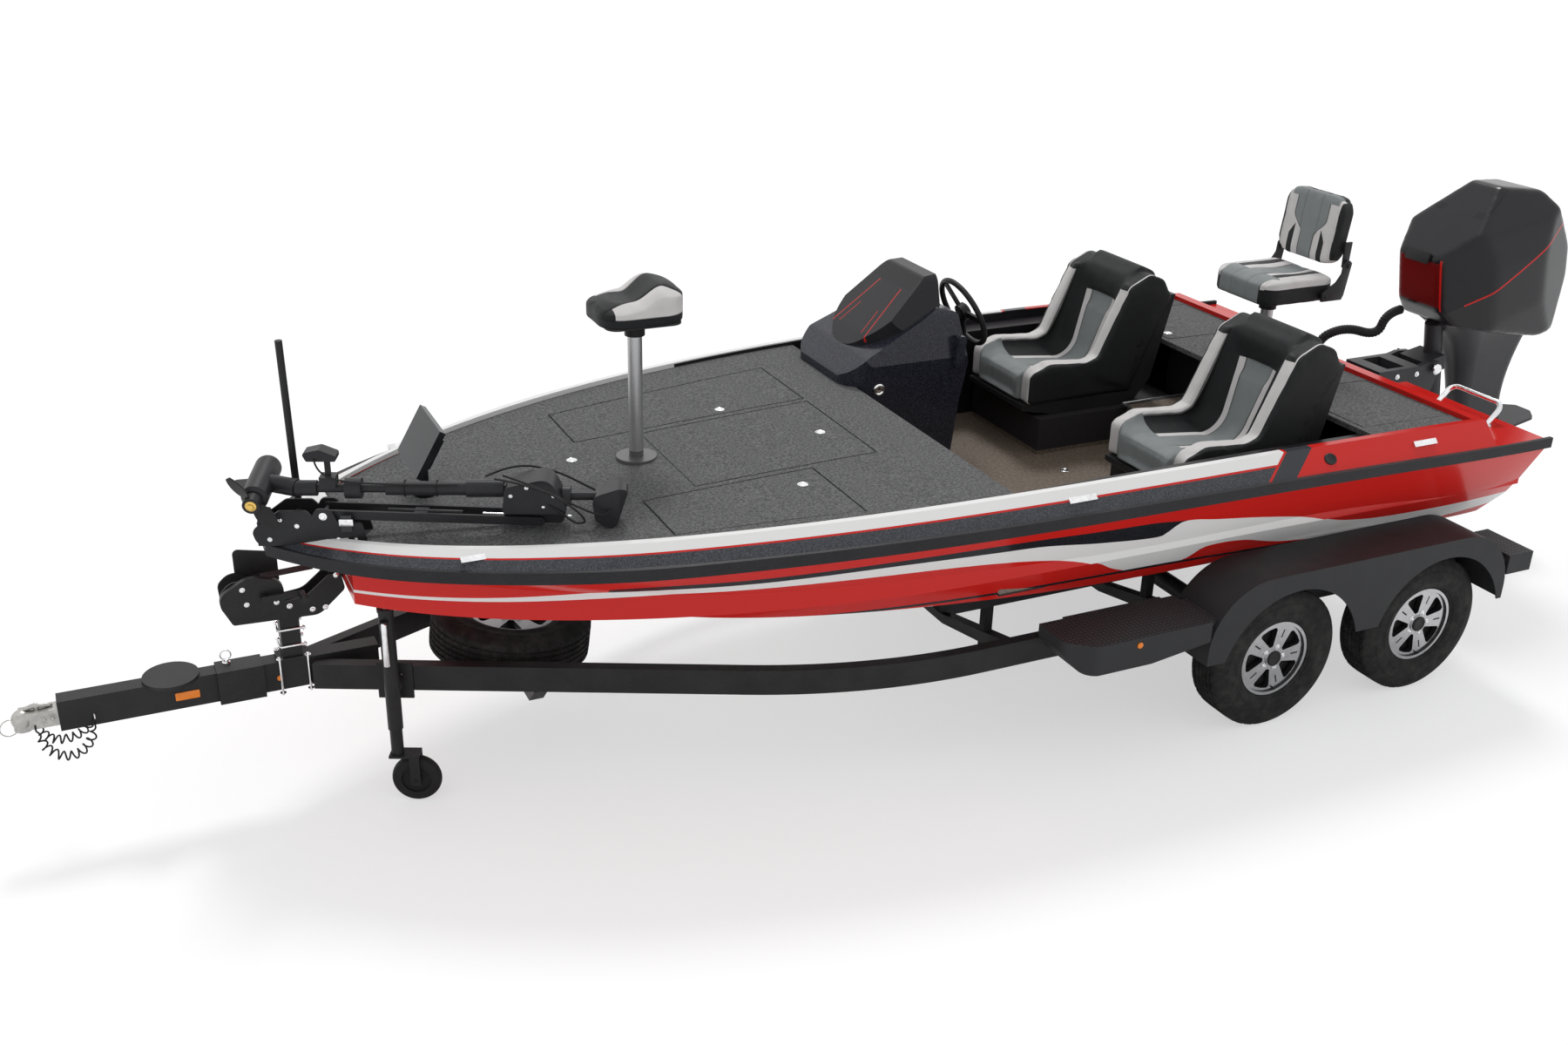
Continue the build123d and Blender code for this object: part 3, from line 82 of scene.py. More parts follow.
def ring_points(radius, count=40):
    return [Vector((radius * cos(tau * k / count), radius * sin(tau * k / count), 0))
            for k in range(count + 1)]


OUTBOARD = frame_at(50, 0, 1130, turned("Y", 11))
BOW_MOTOR = frame_at(5570, 235, 1262, turned("Z", -22))
JACK = frame_at(5590, 275, 0, turned("Z", -24.27))
BUTT_X, BUTT_Z = 4455, 1820     # the butt seat's swivel
AFT_X, AFT_Z = 1140, 1595       # the folding aft seat's swivel
TYRE_RADIUS = 335
SPARE = frame_at(5030, 0, 530, turned("Y", -7))


# Finishes
class Value:
    """A number that changes over a surface. Arithmetic on it adds the Math nodes."""

    def __init__(self, finish, link):
        self.finish = finish
        self.link = link

    def math(self, operation, *others):
        node = self.finish.node("Math", {"operation": operation}, dict(enumerate((self, *others))))
        return Value(self.finish, node.outputs[0])

    def __add__(self, other):
        return self.math("ADD", other)

    def __sub__(self, other):
        return self.math("SUBTRACT", other)

    def __rsub__(self, other):
        return (self * -1) + other

    def __mul__(self, other):
        return self.math("MULTIPLY", other)

    def __truediv__(self, other):
        return self.math("DIVIDE", other)

    def __gt__(self, other):
        return self.math("GREATER_THAN", other)

    def __lt__(self, other):
        return self.math("LESS_THAN", other)

    def __pow__(self, other):
        return self.math("POWER", other)

    def __abs__(self):
        return self.math("ABSOLUTE")

    def sqrt(self):
        return self.math("SQRT")

    def wave(self):
        return self.math("SINE")

    def step(self, low, high):
        """0 below low, 1 above high, smooth between."""
        node = self.finish.node("MapRange", {"interpolation_type": "SMOOTHSTEP"},
                                {"Value": self, "From Min": low, "From Max": high})
        return Value(self.finish, node.outputs[0])

    def between(self, low, high):
        return (self > low) * (self < high)

    __radd__ = __add__
    __rmul__ = __mul__


class Finish:
    """One material, with its place on the object read in the frame's own metres."""

    def __init__(self, name, color=(0.5, 0.5, 0.5), rough=0.5, metal=0.0, **sockets):
        self.material = bpy.data.materials.new(name)
        self.material.use_nodes = True
        self.tree = self.material.node_tree
        self.shader = self.tree.nodes["Principled BSDF"]
        self.named(Base_Color=color, Roughness=rough, Metallic=metal, **sockets)
        self.coords = self.node("TexCoord").outputs["Object"]

    def named(self, **sockets):
        """Feeds the shader's sockets, with each blank in a name written as an underscore."""
        self.feed(self.shader, {key.replace("_", " "): value for key, value in sockets.items()})

    def feed(self, node, inputs):
        for key, value in inputs.items():
            socket = node.inputs[key]
            value = value.link if isinstance(value, Value) else value
            if isinstance(value, bpy.types.NodeSocket):
                self.tree.links.new(value, socket)
            elif isinstance(value, tuple):
                socket.default_value = (*value, 1) if len(socket.default_value) == 4 else value
            else:
                socket.default_value = value

    def node(self, kind, settings={}, inputs={}):
        node = self.tree.nodes.new("ShaderNode" + kind)
        for key, value in settings.items():
            setattr(node, key, value)
        self.feed(node, inputs)
        return node

    def parts(self, link):
        return [Value(self, part) for part in self.node("SeparateXYZ", {}, {0: link}).outputs]

    def place(self):
        """Station from the stern, side and height, in metres."""
        x, y, z = self.parts(self.coords)
        return x + ORIGIN / 1000, y, z

    def local(self, place):
        """The point in a piece's own frame, in metres."""
        rows = place.inverted()
        x, y, z = self.parts(self.coords)
        return [x * row[0] + y * row[1] + z * row[2] + row[3] for row in rows[:3]]

    def normal(self):
        return self.parts(self.node("TexCoord").outputs["Normal"])

    def noise(self, scale, detail=2.0, rough=0.5, stretch=(1, 1, 1)):
        coords = self.node("VectorMath", {"operation": "MULTIPLY"}, {0: self.coords, 1: stretch}).outputs[0]
        node = self.node("TexNoise", {}, {"Vector": coords, "Scale": scale, "Detail": detail,
                                          "Roughness": rough})
        return Value(self, node.outputs["Fac"])

    def cells(self, scale, output="Distance", feature="F1"):
        node = self.node("TexVoronoi", {"feature": feature}, {"Vector": self.coords, "Scale": scale})
        return Value(self, node.outputs[output])

    def mix(self, first, second, share):
        node = self.node("Mix", {"data_type": "RGBA"}, {0: share, 6: first, 7: second})
        return node.outputs[2]

    def edge(self, station, rows):
        """Height of a line along the hull, through rows of station and height in metres."""
        node = self.node("FloatCurve", {}, {"Value": station / LENGTH})
        points = node.mapping.curves[0].points
        for place, height in rows[1:-1]:
            points.new(place / LENGTH, height / HEIGHT)
        for point, (place, height) in ((points[0], rows[0]), (points[len(points) - 1], rows[-1])):
            point.location = (place / LENGTH, height / HEIGHT)
        for point in points:
            point.handle_type = "AUTO_CLAMPED"
        node.mapping.update()
        return Value(self, node.outputs[0]) * HEIGHT

    def paint(self, color=None, rough=None, height=None, depth=0.001, **sockets):
        """Feeds the shader: colour, roughness, and a bump of the given depth in metres."""
        if color is not None:
            sockets["Base_Color"] = color
        if rough is not None:
            sockets["Roughness"] = rough
        if height is not None:
            bump = self.node("Bump", {}, {"Height": height, "Distance": depth})
            sockets["Normal"] = bump.outputs[0]
        self.named(**sockets)
        return self


RED = (0.60, 0.016, 0.012)
DARK_RED = (0.16, 0.008, 0.008)
WHITE = (0.80, 0.79, 0.78)
BLACK = (0.010, 0.010, 0.012)
CHARCOAL = (0.055, 0.060, 0.075)
SEAT_GREY = (0.26, 0.28, 0.28)
SEAT_WHITE = (0.76, 0.73, 0.72)
SEAT_BLACK = (0.014, 0.015, 0.016)


def sheer(station):
    """Height of the gunwale's top edge: a very large circle, near enough a parabola."""
    return 1.3 - (station - 2.15) ** 2 / 100


def flake(finish, base, bright, share=0.5):
    """Metal flake under clear gelcoat."""
    spots = finish.cells(420, "Color")
    glint = (finish.noise(1500, 0) * 0.5 + spots * 0.5).step(0.45, 0.75)
    return finish.mix(base, bright, glint * share)


def hull_finish():
    f = Finish("hull_gelcoat", RED, 0.16, Specular_IOR_Level=0.22, Coat_Weight=0.06, Coat_Roughness=0.04)
    station, side, height = f.place()
    thin = f.edge(station, [(0.4, 1.3), (2.3, 1.3), (2.45, 1.079), (2.63, 1.095), (2.87, 1.099),
                            (3.2, 1.106), (3.63, 1.098), (4.31, 1.069), (4.8, 1.046),
                            (5.25, 0.981), (5.9, 0.90)])
    top = f.edge(station, [(0.4, 0.84), (0.57, 0.845), (1.05, 0.84), (1.43, 0.864), (1.72, 0.944),
                           (2.01, 1.004), (2.28, 1.048), (2.47, 1.076), (2.56, 1.003), (2.84, 1.025),
                           (3.18, 1.064), (3.62, 1.066), (4.3, 1.043), (4.8, 1.023),
                           (5.28, 0.985), (5.9, 0.95)])
    low = f.edge(station, [(0.4, 0.785), (0.52, 0.782), (0.99, 0.761), (1.45, 0.764), (1.76, 0.798),
                           (2.17, 0.881), (2.26, 0.872), (2.32, 0.813), (2.57, 0.804), (2.68, 0.83),
                           (2.82, 0.901), (3.04, 0.962), (3.38, 1.003), (3.81, 1.013), (4.29, 1.009),
                           (4.79, 0.995), (5.27, 0.970), (5.9, 0.94)])
    chine = f.edge(station, [(0.4, 0.716), (1.74, 0.772), (2.61, 0.806), (3.51, 0.789), (4.22, 0.783),
                             (4.87, 0.863), (5.3, 0.93), (5.9, 1.02)])
    dark = flake(f, BLACK, CHARCOAL, 0.5)
    color = f.mix(RED, dark, (height < thin) * (height > top) * station.between(2.46, 4.85))
    color = f.mix(color, WHITE, (height < top) * (height > low))
    color = f.mix(color, dark, (abs(height - chine) < 0.008) * (station > 0.45) * (station < 4.95))
    bottom = (height < chine - 0.02) * (abs(side) < 0.9)
    color = f.mix(color, (0.62, 0.62, 0.61), bottom * (station < 5.2))
    nx, ny, nz = f.normal()
    inner = (abs(side) < 0.93) * (height > 0.79) * (station < 3.26)
    inward = (ny * side < -0.02).math("MAXIMUM",
                                      nz > 0.5).math("MAXIMUM", (abs(nx) > 0.95) * (station < 4.7))
    well = inner.math("MAXIMUM", inward * (height > 0.79) * (height < sheer(station) - 0.03)
                      * (station > 0.6))
    color = f.mix(color, (0.014, 0.012, 0.014), well)
    return f.paint(color, rough=0.13 + 0.06 * f.noise(9) + 0.2 * well, height=f.noise(3, 1), depth=0.0012)


def gunwale_finish():
    f = Finish("gunwale_gelcoat", WHITE, 0.18, Specular_IOR_Level=0.22, Coat_Weight=0.06,
               Coat_Roughness=0.05)
    station, side, height = f.place()
    rail = f.edge(station, [(0.4, 1.178), (1.3, 1.198), (2.3, 1.214), (3.2, 1.212), (3.9, 1.2), (4.5, 1.18),
                            (5.0, 1.16), (5.4, 1.146), (6.0, 1.136)])
    share = (height - rail) / (sheer(station) - rail)
    color = f.mix(flake(f, (0.030, 0.032, 0.038), (0.17, 0.18, 0.205), 0.6), RED, share > 0.50)
    color = f.mix(color, WHITE, share > 0.58)
    slant = station + (height - 1.242) * 1.5
    color = f.mix(color, (0.040, 0.042, 0.048), (slant < 2.04))
    color = f.mix(color, RED, slant.between(2.04, 2.056).math("MAXIMUM", slant < 1.903))
    inward = (f.normal()[1] * side < -0.02) * station.between(1.45, 3.9) * (height < sheer(station) - 0.006)
    color = f.mix(color, (0.02, 0.02, 0.022), inward * (abs(side) > 0.9))
    return f.paint(color, rough=0.14 + 0.07 * f.noise(11), height=f.noise(4, 1), depth=0.001)


def carpet_finish():
    f = Finish("carpet", (0.08, 0.085, 0.09), 0.95)
    tufts = f.noise(420, 4, 0.75)
    heather = f.noise(95, 5, 0.8)
    worn = f.noise(5, 3)
    color = f.mix((0.026, 0.026, 0.027), (0.235, 0.235, 0.235), heather.step(0.34, 0.70))
    color = f.mix(color, (0.150, 0.150, 0.152), tufts.step(0.35, 0.8) * 0.5 + worn * 0.15)
    return f.paint(color, height=tufts + heather * 0.6, depth=0.0035)


def mat_finish():
    f = Finish("footwell_mat", (0.14, 0.10, 0.07), 0.7)
    station, side, height = f.place()
    grain = f.noise(60, 4, 0.7)
    color = f.mix((0.085, 0.062, 0.045), (0.20, 0.155, 0.115), grain.step(0.3, 0.75))
    cells = f.cells(38, "Distance", "DISTANCE_TO_EDGE")
    patch = station.between(2.92, 3.16) * (abs(side) < 0.5)
    color = f.mix(color, (0.03, 0.024, 0.02), patch * (cells.step(0.02, 0.12) * 0.6 + 0.3))
    border = (abs(side) > 0.27).math("MAXIMUM", station > 3.2) * (height > 0.803)
    color = f.mix(color, (0.014, 0.012, 0.014), (height < 0.797).math("MAXIMUM", border * (height > 0.82)))
    return f.paint(color, rough=0.55 + 0.25 * grain, height=grain + cells * patch, depth=0.002)


def plain(name, color, rough, metal=0.0, second=None, grain=180, depth=0.0004, **sockets):
    """A moulded or painted finish: slight colour variation, uneven gloss and a fine texture."""
    f = Finish(name, color, rough, metal, **({} if metal else {"Specular_IOR_Level": 0.20}), **sockets)
    fine = f.noise(grain, 3, 0.6)
    broad = f.noise(7, 3)
    other = second or tuple(min(1, c * 1.35 + 0.003) for c in color)
    f.paint(f.mix(color, other, (fine * 0.5 + broad * 0.5).step(0.3, 0.7)),
            rough=rough * 0.85 + (rough * 0.3) * broad, height=fine, depth=depth)
    return f


def vinyl(name, colours):
    """Seat vinyl with a fine leather grain and painted shade darkening its creases. colours takes the finish
    and gives its colour socket.
    """
    f = Finish(name, SEAT_GREY, 0.42, Specular_IOR_Level=0.22)
    grain = f.cells(420, "Distance", "DISTANCE_TO_EDGE")
    crease = f.noise(16, 3)
    color, seam = colours(f)
    # painted shade: the colour is darkened in the creases; the seams are dark joints
    color_with_painted_crease_shade = f.mix(color, (0.0, 0.0, 0.0), crease.step(0.35, 0.9) * 0.10 + seam * 0.75)
    return f.paint(color_with_painted_crease_shade, rough=0.36 + 0.16 * crease, height=grain.step(0.0, 0.12) * 0.4 + crease
                   - seam * 2, depth=0.0012)


SEAT_Y = 0.600
SEAT_BACK = 1.500
SEAT_FRONT = 2.310


def line(value, place, width=0.004):
    return abs(value - place) < width


def bucket_colours(f):
    """Grey centre between white stripes, black wings with a white crest, black headrest."""
    station, side, height = f.place()
    across = abs(abs(side) - SEAT_Y)
    lean = (height - 1.20) * 0.30
    back = station - SEAT_BACK + lean < 0.40
    centre = 0.062 + (height - 1.25).math("MAXIMUM", 0) * 0.10
    front = (station > SEAT_FRONT - 0.155) * (across < 0.20)
    black, white, grey = SEAT_BLACK, SEAT_WHITE, SEAT_GREY
    color = f.mix(black, white, across.between(0.193, 0.262))
    color = f.mix(color, white, (across > centre) * (across < centre + 0.034))
    color = f.mix(color, grey, across < centre)
    head = (height > 1.585) * (across < 0.255)
    color = f.mix(color, black, head.math("MAXIMUM", (height > 1.50) * (across < 0.193)))
    grey_front = f.mix(color, grey, front * (1 - back))
    low = (across > 0.20) * (height < 1.16)
    color = f.mix(grey_front, black, low * (station < SEAT_FRONT - 0.05))
    rear = (station - SEAT_BACK + (height - 1.20) * 0.28) < 0.095
    color = f.mix(color, black, rear)
    seam = line(across, 0.193, 0.003).math("MAXIMUM", line(across, centre, 0.003) * (height < 1.5))
    return color, seam * (1 - front) * (1 - rear)


def butt_colours(f):
    """Black saddle with white at both sides."""
    station, side, height = f.place()
    x = station - BUTT_X / 1000
    inner = 0.080 + abs(x - 0.02) * 0.16
    white = (abs(side) > inner) * (height > 1.872) * x.between(-0.17, 0.13)
    seam = line(height, 1.872, 0.003).math("MAXIMUM", line(abs(side), inner, 0.003) * (height > 1.872))
    return f.mix(SEAT_BLACK, SEAT_WHITE, white), seam


def aft_cushion_colours(f):
    station, side, height = f.place()
    x, across = station - AFT_X / 1000, abs(side)
    grey = (across < 0.055).math("MAXIMUM", (x > 0.10) * (across < 0.165 - (x - 0.1) * 0.25))
    white = across.between(0.055, 0.10).math("MAXIMUM", (across > 0.145) * (height > 1.685))
    color = f.mix(SEAT_BLACK, SEAT_WHITE, white)
    color = f.mix(color, SEAT_GREY, grey)
    color = f.mix(color, SEAT_BLACK, (across > 0.165) * (height < 1.69))
    return color, line(across, 0.055, 0.003) * (x < 0.1)


def aft_back_colours(f):
    station, side, height = f.place()
    across, rise = abs(side), height - 1.760
    wide = 0.045 + (rise - 0.13).step(0.0, 0.09) * 0.065
    color = f.mix(SEAT_BLACK, SEAT_WHITE, across < 0.175)
    color = f.mix(color, SEAT_BLACK, across.between(0.088, 0.122) * (rise < 0.17 - (across - 0.088) * 1.6))
    color = f.mix(color, SEAT_GREY, (across < wide).math("MAXIMUM", (rise > 0.30) * (across < 0.16)))
    rear = station < AFT_X / 1000 - 0.262 + 0.028
    return f.mix(color, SEAT_BLACK, rear), line(across, wide, 0.003) * (rise < 0.30)


def cowl_finish():
    f = Finish("cowl_paint", BLACK, 0.24, Specular_IOR_Level=0.24)
    x, y, z = f.local(OUTBOARD)
    side = abs(y)
    panel = f.noise(900, 1)
    color = f.mix((0.010, 0.010, 0.012), (0.026, 0.026, 0.029), panel.step(0.35, 0.7))
    facet = x * 0.42 + z
    lower = facet < 0.30
    color = f.mix(color, (0.030, 0.030, 0.032), lower * (side > 0.15))
    color = f.mix(color, DARK_RED, (x > -0.06) * (side < 0.135) * z.between(0.34, 0.585))
    trim = line(facet, 0.30, 0.005) * (x < -0.10)
    color = f.mix(color, RED, trim.math("MAXIMUM", line(side, 0.140, 0.004) * (x > -0.10) * (z > 0.32)
                                        * (z < 0.60)))
    seam = line(facet, 0.66, 0.003) * (x < -0.02) * (side > 0.1)
    color = f.mix(color, BLACK, seam)
    return f.paint(color, rough=0.18 + 0.10 * f.noise(8), height=0 - seam - trim * 0.5 + f.noise(5, 1)
                   * 0.3, depth=0.003)


def console_finish():
    f = Finish("console_flake", BLACK, 0.15, Specular_IOR_Level=0.25, Coat_Weight=0.1, Coat_Roughness=0.05)
    station, side, height = f.place()
    color = flake(f, (0.010, 0.010, 0.014), (0.10, 0.105, 0.15), 0.7)
    vent = (station > 3.0) * (height < 1.10)
    return f.paint(f.mix(color, (0.012, 0.011, 0.012), vent), rough=0.12 + 0.1 * f.noise(9),
                   height=f.noise(4, 1), depth=0.001)


def screen_finish():
    f = Finish("windscreen_shell", BLACK, 0.22, Specular_IOR_Level=0.25)
    station, side, height = f.place()
    across = abs(side + 0.640)
    color = f.mix((0.010, 0.010, 0.012), (0.024, 0.024, 0.028), f.noise(700, 1).step(0.4, 0.7))
    stripe = across + (height - 1.45) * 0.30
    color = f.mix(color, RED, line(stripe, 0.165, 0.0035) * height.between(1.44, 1.66))
    color = f.mix(color, RED, line(stripe, 0.120, 0.0025) * height.between(1.47, 1.56))
    color = f.mix(color, BLACK, (height > 1.665) * (across < 0.17))
    return f.paint(color, rough=0.2 + 0.12 * f.noise(10), height=f.noise(5, 1), depth=0.001)


def fender_finish():
    """Matt paint, with a raised lozenge pattern on top of the steps."""
    f = Finish("fender_paint", (0.020, 0.020, 0.022), 0.5, Specular_IOR_Level=0.22)
    station, side, height = f.place()
    nz = f.normal()[2]
    fine = f.noise(320, 2)
    step = (nz > 0.8) * height.between(0.60, 0.67)
    lozenge = ((station + side) * 150).wave() * ((station - side) * 150).wave()
    raised = lozenge.step(0.25, 0.6) * step
    color = f.mix((0.022, 0.022, 0.024), (0.036, 0.037, 0.039), fine)
    color = f.mix(color, (0.075, 0.075, 0.078), raised * 0.7)
    return f.paint(color, rough=0.42 + 0.15 * f.noise(12) - 0.1 * raised,
                   height=fine * 0.15 + raised, depth=0.002)


def post_finish():
    """Brushed alloy, with a painted flange on the fore deck."""
    f = Finish("post_alloy", (0.5, 0.5, 0.5), 0.3, 0.9)
    station, side, height = f.place()
    flange = (station > 4.0) * (height < 1.262)
    brushed = f.noise(60, 2, stretch=(1, 1, 8))
    color = f.mix((0.40, 0.40, 0.41), (0.58, 0.58, 0.58), brushed)
    return f.paint(f.mix(color, (0.10, 0.10, 0.10), flange), rough=0.26 + 0.2 * brushed,
                   Metallic=0.9 * (1 - flange))


def spare_finish():
    f = Finish("spare_rim", (0.6, 0.6, 0.6), 0.3, 1.0)
    x, y, z = f.local(SPARE)
    face = (z > 0.0664) * ((x * x + y * y).sqrt() > 0.036)
    return f.paint(f.mix((0.012, 0.012, 0.012), (0.60, 0.60, 0.61), face), rough=0.3 + 0.2 * f.noise(30),
                   Metallic=face)


def rubber_wheel_finish():
    f = Finish("tyre_rubber", (0.022, 0.022, 0.022), 0.8, Specular_IOR_Level=0.2)
    dust = f.noise(14, 4, 0.7)
    fine = f.noise(260, 2)
    return f.paint(f.mix((0.014, 0.014, 0.014), (0.045, 0.043, 0.041), dust.step(0.35, 0.8)),
                   rough=0.68 + 0.2 * dust, height=fine, depth=0.0006)


def rim_finish(name, place):
    """Machined on the outer faces, black in the windows and the barrel."""
    f = Finish(name, (0.72, 0.72, 0.73), 0.25, 1.0)
    x, y, z = f.local(place)
    around = (x * x + y * y).sqrt()
    face = (z > 0.0664) * (around < 0.166) * (around > 0.036)
    deep = 1 - face.math("MAXIMUM", z > 0.0775)
    brushed = f.noise(40, 2, stretch=(1, 9, 1))
    angle = y.math("ARCTAN2", x) * (5 / tau)
    middle = abs(angle.math("FRACT") - 0.5) * around
    pocket = (middle < 0.0032) * around.between(0.100, 0.140)
    black = deep.math("MAXIMUM", pocket)
    color = f.mix((0.42, 0.42, 0.43), (0.60, 0.60, 0.61), brushed)
    return f.paint(f.mix(color, (0.012, 0.012, 0.012), black), rough=0.16 + 0.12 * brushed + 0.25 * black,
                   Metallic=1 - black)


FINISH = {"hull": hull_finish(), "gunwale": gunwale_finish(), "carpet": carpet_finish(), "mat": mat_finish(),
          "cowl": cowl_finish(), "console": console_finish(), "screen": screen_finish(),
          "tyre": rubber_wheel_finish(), "bucket": vinyl("bucket_vinyl", bucket_colours),
          "butt": vinyl("butt_vinyl", butt_colours),
          "aft_cushion": vinyl("aft_cushion_vinyl", aft_cushion_colours),
          "aft_back": vinyl("aft_back_vinyl", aft_back_colours),
          "rail": plain("rub_rail_vinyl", (0.016, 0.016, 0.018), 0.45, grain=90),
          "trim": plain("black_moulding", (0.018, 0.018, 0.019), 0.42),
          "satin": plain("satin_black_alloy", (0.020, 0.020, 0.022), 0.36),
          "trailer": plain("trailer_paint", (0.017, 0.017, 0.018), 0.40, second=(0.030, 0.030, 0.031),
                           grain=240), "fender": fender_finish(), "spare_rim": spare_finish(),
          "grey": plain("dark_grey_alloy", (0.035, 0.035, 0.038), 0.38),
          "alloy": plain("anodised_alloy", (0.58, 0.58, 0.58), 0.32, 0.9, grain=120),
          "chrome": plain("polished_steel", (0.72, 0.72, 0.73), 0.12, 1.0, grain=60),
          "zinc": plain("zinc_plate", (0.36, 0.36, 0.35), 0.30, 1.0, second=(0.56, 0.54, 0.50), grain=45),
          "rubber": plain("black_rubber", (0.014, 0.014, 0.014), 0.62),
          "bunk": plain("bunk_carpet", (0.022, 0.022, 0.024), 0.95, grain=420, depth=0.002),
          "lamp": plain("red_lens", (0.42, 0.012, 0.010), 0.14, Coat_Weight=0.6),
          "amber": plain("amber_lens", (0.78, 0.20, 0.01), 0.16, Coat_Weight=0.6),
          "strap": plain("strap_webbing", (0.05, 0.05, 0.052), 0.8, grain=600, depth=0.0012),
          "brass": plain("brass", (0.62, 0.42, 0.12), 0.3, 1.0),
          "glass": plain("screen_glass", (0.010, 0.011, 0.013), 0.22), "post": post_finish(),}

FINISHED = {
    "hull": "hull", "gunwale": "deck_moulding", "rail": "rub_rail", "mat": "cockpit_liner",
    "carpet": "fore_deck aft_deck lid_port lid_starboard lid_centre lid_aft_port lid_aft_starboard",
    "console": "console", "screen": "windscreen", "bucket": "seat_pads", "post": "seat_posts",
    "butt": "bow_seat", "aft_cushion": "aft_seat", "aft_back": "aft_seat_back",
    "trim": "steering_wheel seat_shells bow_pole bow_motor_propeller", "glass": "bow_display",
    "chrome": "deck_fittings outboard_propeller", "cowl": "outboard_cowl",
    "grey": "outboard_bracket outboard_swivel outboard_leg",
    "satin": "bow_motor_base bow_motor_arm bow_motor", "zinc": "coupler", "bunk": "bunks",
    "trailer": "frame_rails crossmembers tongue tongue_front winch_post jack_tube jack_leg axles",
    "tyre": "spare_wheel", "fender": "fenders", "lamp": "tail_lights", "strap": "winch_strap",
    "rubber": "jack_wheel bow_roller safety_cables rigging_hose"}
NODE_FINISH = {name: finish for finish, names in FINISHED.items() for name in names.split()}
WHEELS = {}
for axle, station in (("front", 1904), ("rear", 1044)):
    for name, side in (("port", 1), ("starboard", -1)):
        wheel = f"{axle}_{name}"
        WHEELS[wheel] = sideways(station, 1122, TYRE_RADIUS, side)
        FINISH["rim_" + wheel] = rim_finish("rim_" + wheel, WHEELS[wheel])
        NODE_FINISH["rim_" + wheel] = "rim_" + wheel
        NODE_FINISH["tyre_" + wheel] = "tyre"
for name, finish in NODE_FINISH.items():
    for slot in nodes[name].material_slots:
        slot.material = FINISH[finish].material


# Shapes
class Form:
    """A mesh in the making. Every part is given in the place set last."""

    def __init__(self, place=Matrix.Identity(4)):
        self.mesh = bmesh.new()
        self.place = place

    def turn(self, rows, sides=32, place=Matrix.Identity(4)):
        """A turned part round the place's Z, through rows of radius and height."""
        rings = []
        for radius, height in rows:
            rings.append([self.mesh.verts.new(self.place @ place
                                              @ Vector((radius * cos(tau * k / sides),
                                                        radius * sin(tau * k / sides), height)))
                          for k in range(sides)])
        for low, high in zip(rings, rings[1:]):
            for k in range(sides):
                self.mesh.faces.new((low[k], low[k - 1], high[k - 1], high[k]))
        return self

    def slab(self, outline, low, high, place=Matrix.Identity(4)):
        """A plate: an outline in the place's XY, from low to high along Z."""
        rings = [[self.mesh.verts.new(self.place @ place @ Vector((x, y, z))) for x, y in outline]
                 for z in (low, high)]
        self.mesh.faces.new(rings[0][::-1])
        self.mesh.faces.new(rings[1])
        for k in range(len(outline)):
            self.mesh.faces.new((rings[0][k - 1], rings[0][k], rings[1][k], rings[1][k - 1]))
        return self

    def bolt(self, place, size=0.008, sides=6):
        """A hexagon head on its washer, standing along the place's Z."""
        self.turn([(0, 0), (size * 1.5, 0), (size * 1.5, size * 0.2), (0, size * 0.2)], 20, place)
        return self.turn([(0, size * 0.15), (size, size * 0.15), (size, size * 0.8), (size * 0.8, size),
                          (0, size)], sides, place)

    def bolts(self, rows, half):
        """Bolts on both sides of a piece, half across: rows of x, z and size."""
        for side in (-1, 1):
            for x, z, size in rows:
                self.bolt(facing(x, side * half, z, side), size)
        return self

    def hoop(self, place, radius, bar, sides=8, count=40):
        """A ring of round bar about the place's Z."""
        return self.pipe([place @ point for point in ring_points(radius, count)], bar, sides, False)

    def pipe(self, points, radius, sides=12, ends=True):
        """A round bar along a line of points; radius may be a list, one for each point."""
        radii = radius if isinstance(radius, list) else [radius] * len(points)
        points = [Vector(p) for p in points]
        across = None
        rings = []
        for k, point in enumerate(points):
            along = (points[min(k + 1, len(points) - 1)] - points[max(k - 1, 0)]).normalized()
            if across is None:
                across = along.orthogonal()
            across = (across - along * across.dot(along)).normalized()
            other = along.cross(across)
            rings.append([self.mesh.verts.new(self.place @ (point + radii[k] * (
                across * cos(tau * n / sides) + other * sin(tau * n / sides)))) for n in range(sides)])
        for low, high in zip(rings, rings[1:]):
            for n in range(sides):
                self.mesh.faces.new((low[n - 1], low[n], high[n], high[n - 1]))
        if ends:
            self.mesh.faces.new(rings[0][::-1])
            self.mesh.faces.new(rings[-1])
        return self

    def steel(self, name, body, bevel=0.0004):
        return self.done(name, body, "chrome", bevel)

    def done(self, name, body, finish, bevel=0.0, smooth=40):
        bmesh.ops.remove_doubles(self.mesh, verts=self.mesh.verts, dist=1e-6)
        bmesh.ops.recalc_face_normals(self.mesh, faces=self.mesh.faces)
        piece = bpy.data.objects.new(name, mesh_from(self.mesh, name))
        return finished(piece, body, finish, bevel, smooth)


def finished(piece, body, finish, bevel=0.0, smooth=40):
    """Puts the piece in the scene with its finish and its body."""
    if piece.name not in scene.collection.objects:
        scene.collection.objects.link(piece)
    piece.data.materials.clear()
    piece.data.materials.append((FINISH[finish] if isinstance(finish, str) else finish).material)
    if bevel:
        rounding = piece.modifiers.new("rounding", "BEVEL")
        rounding.width = bevel
        rounding.segments = 2
        rounding.limit_method = "ANGLE"
        rounding.angle_limit = radians(35)
        applied(piece)
    if smooth and piece.type == "MESH":
        for face in piece.data.polygons:
            face.use_smooth = True
        piece.data.set_sharp_from_angle(angle=radians(smooth))
    if body:
        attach(piece, body)
    return piece


def mesh_from(form, name):
    mesh = bpy.data.meshes.new(name)
    form.to_mesh(mesh)
    form.free()
    return mesh


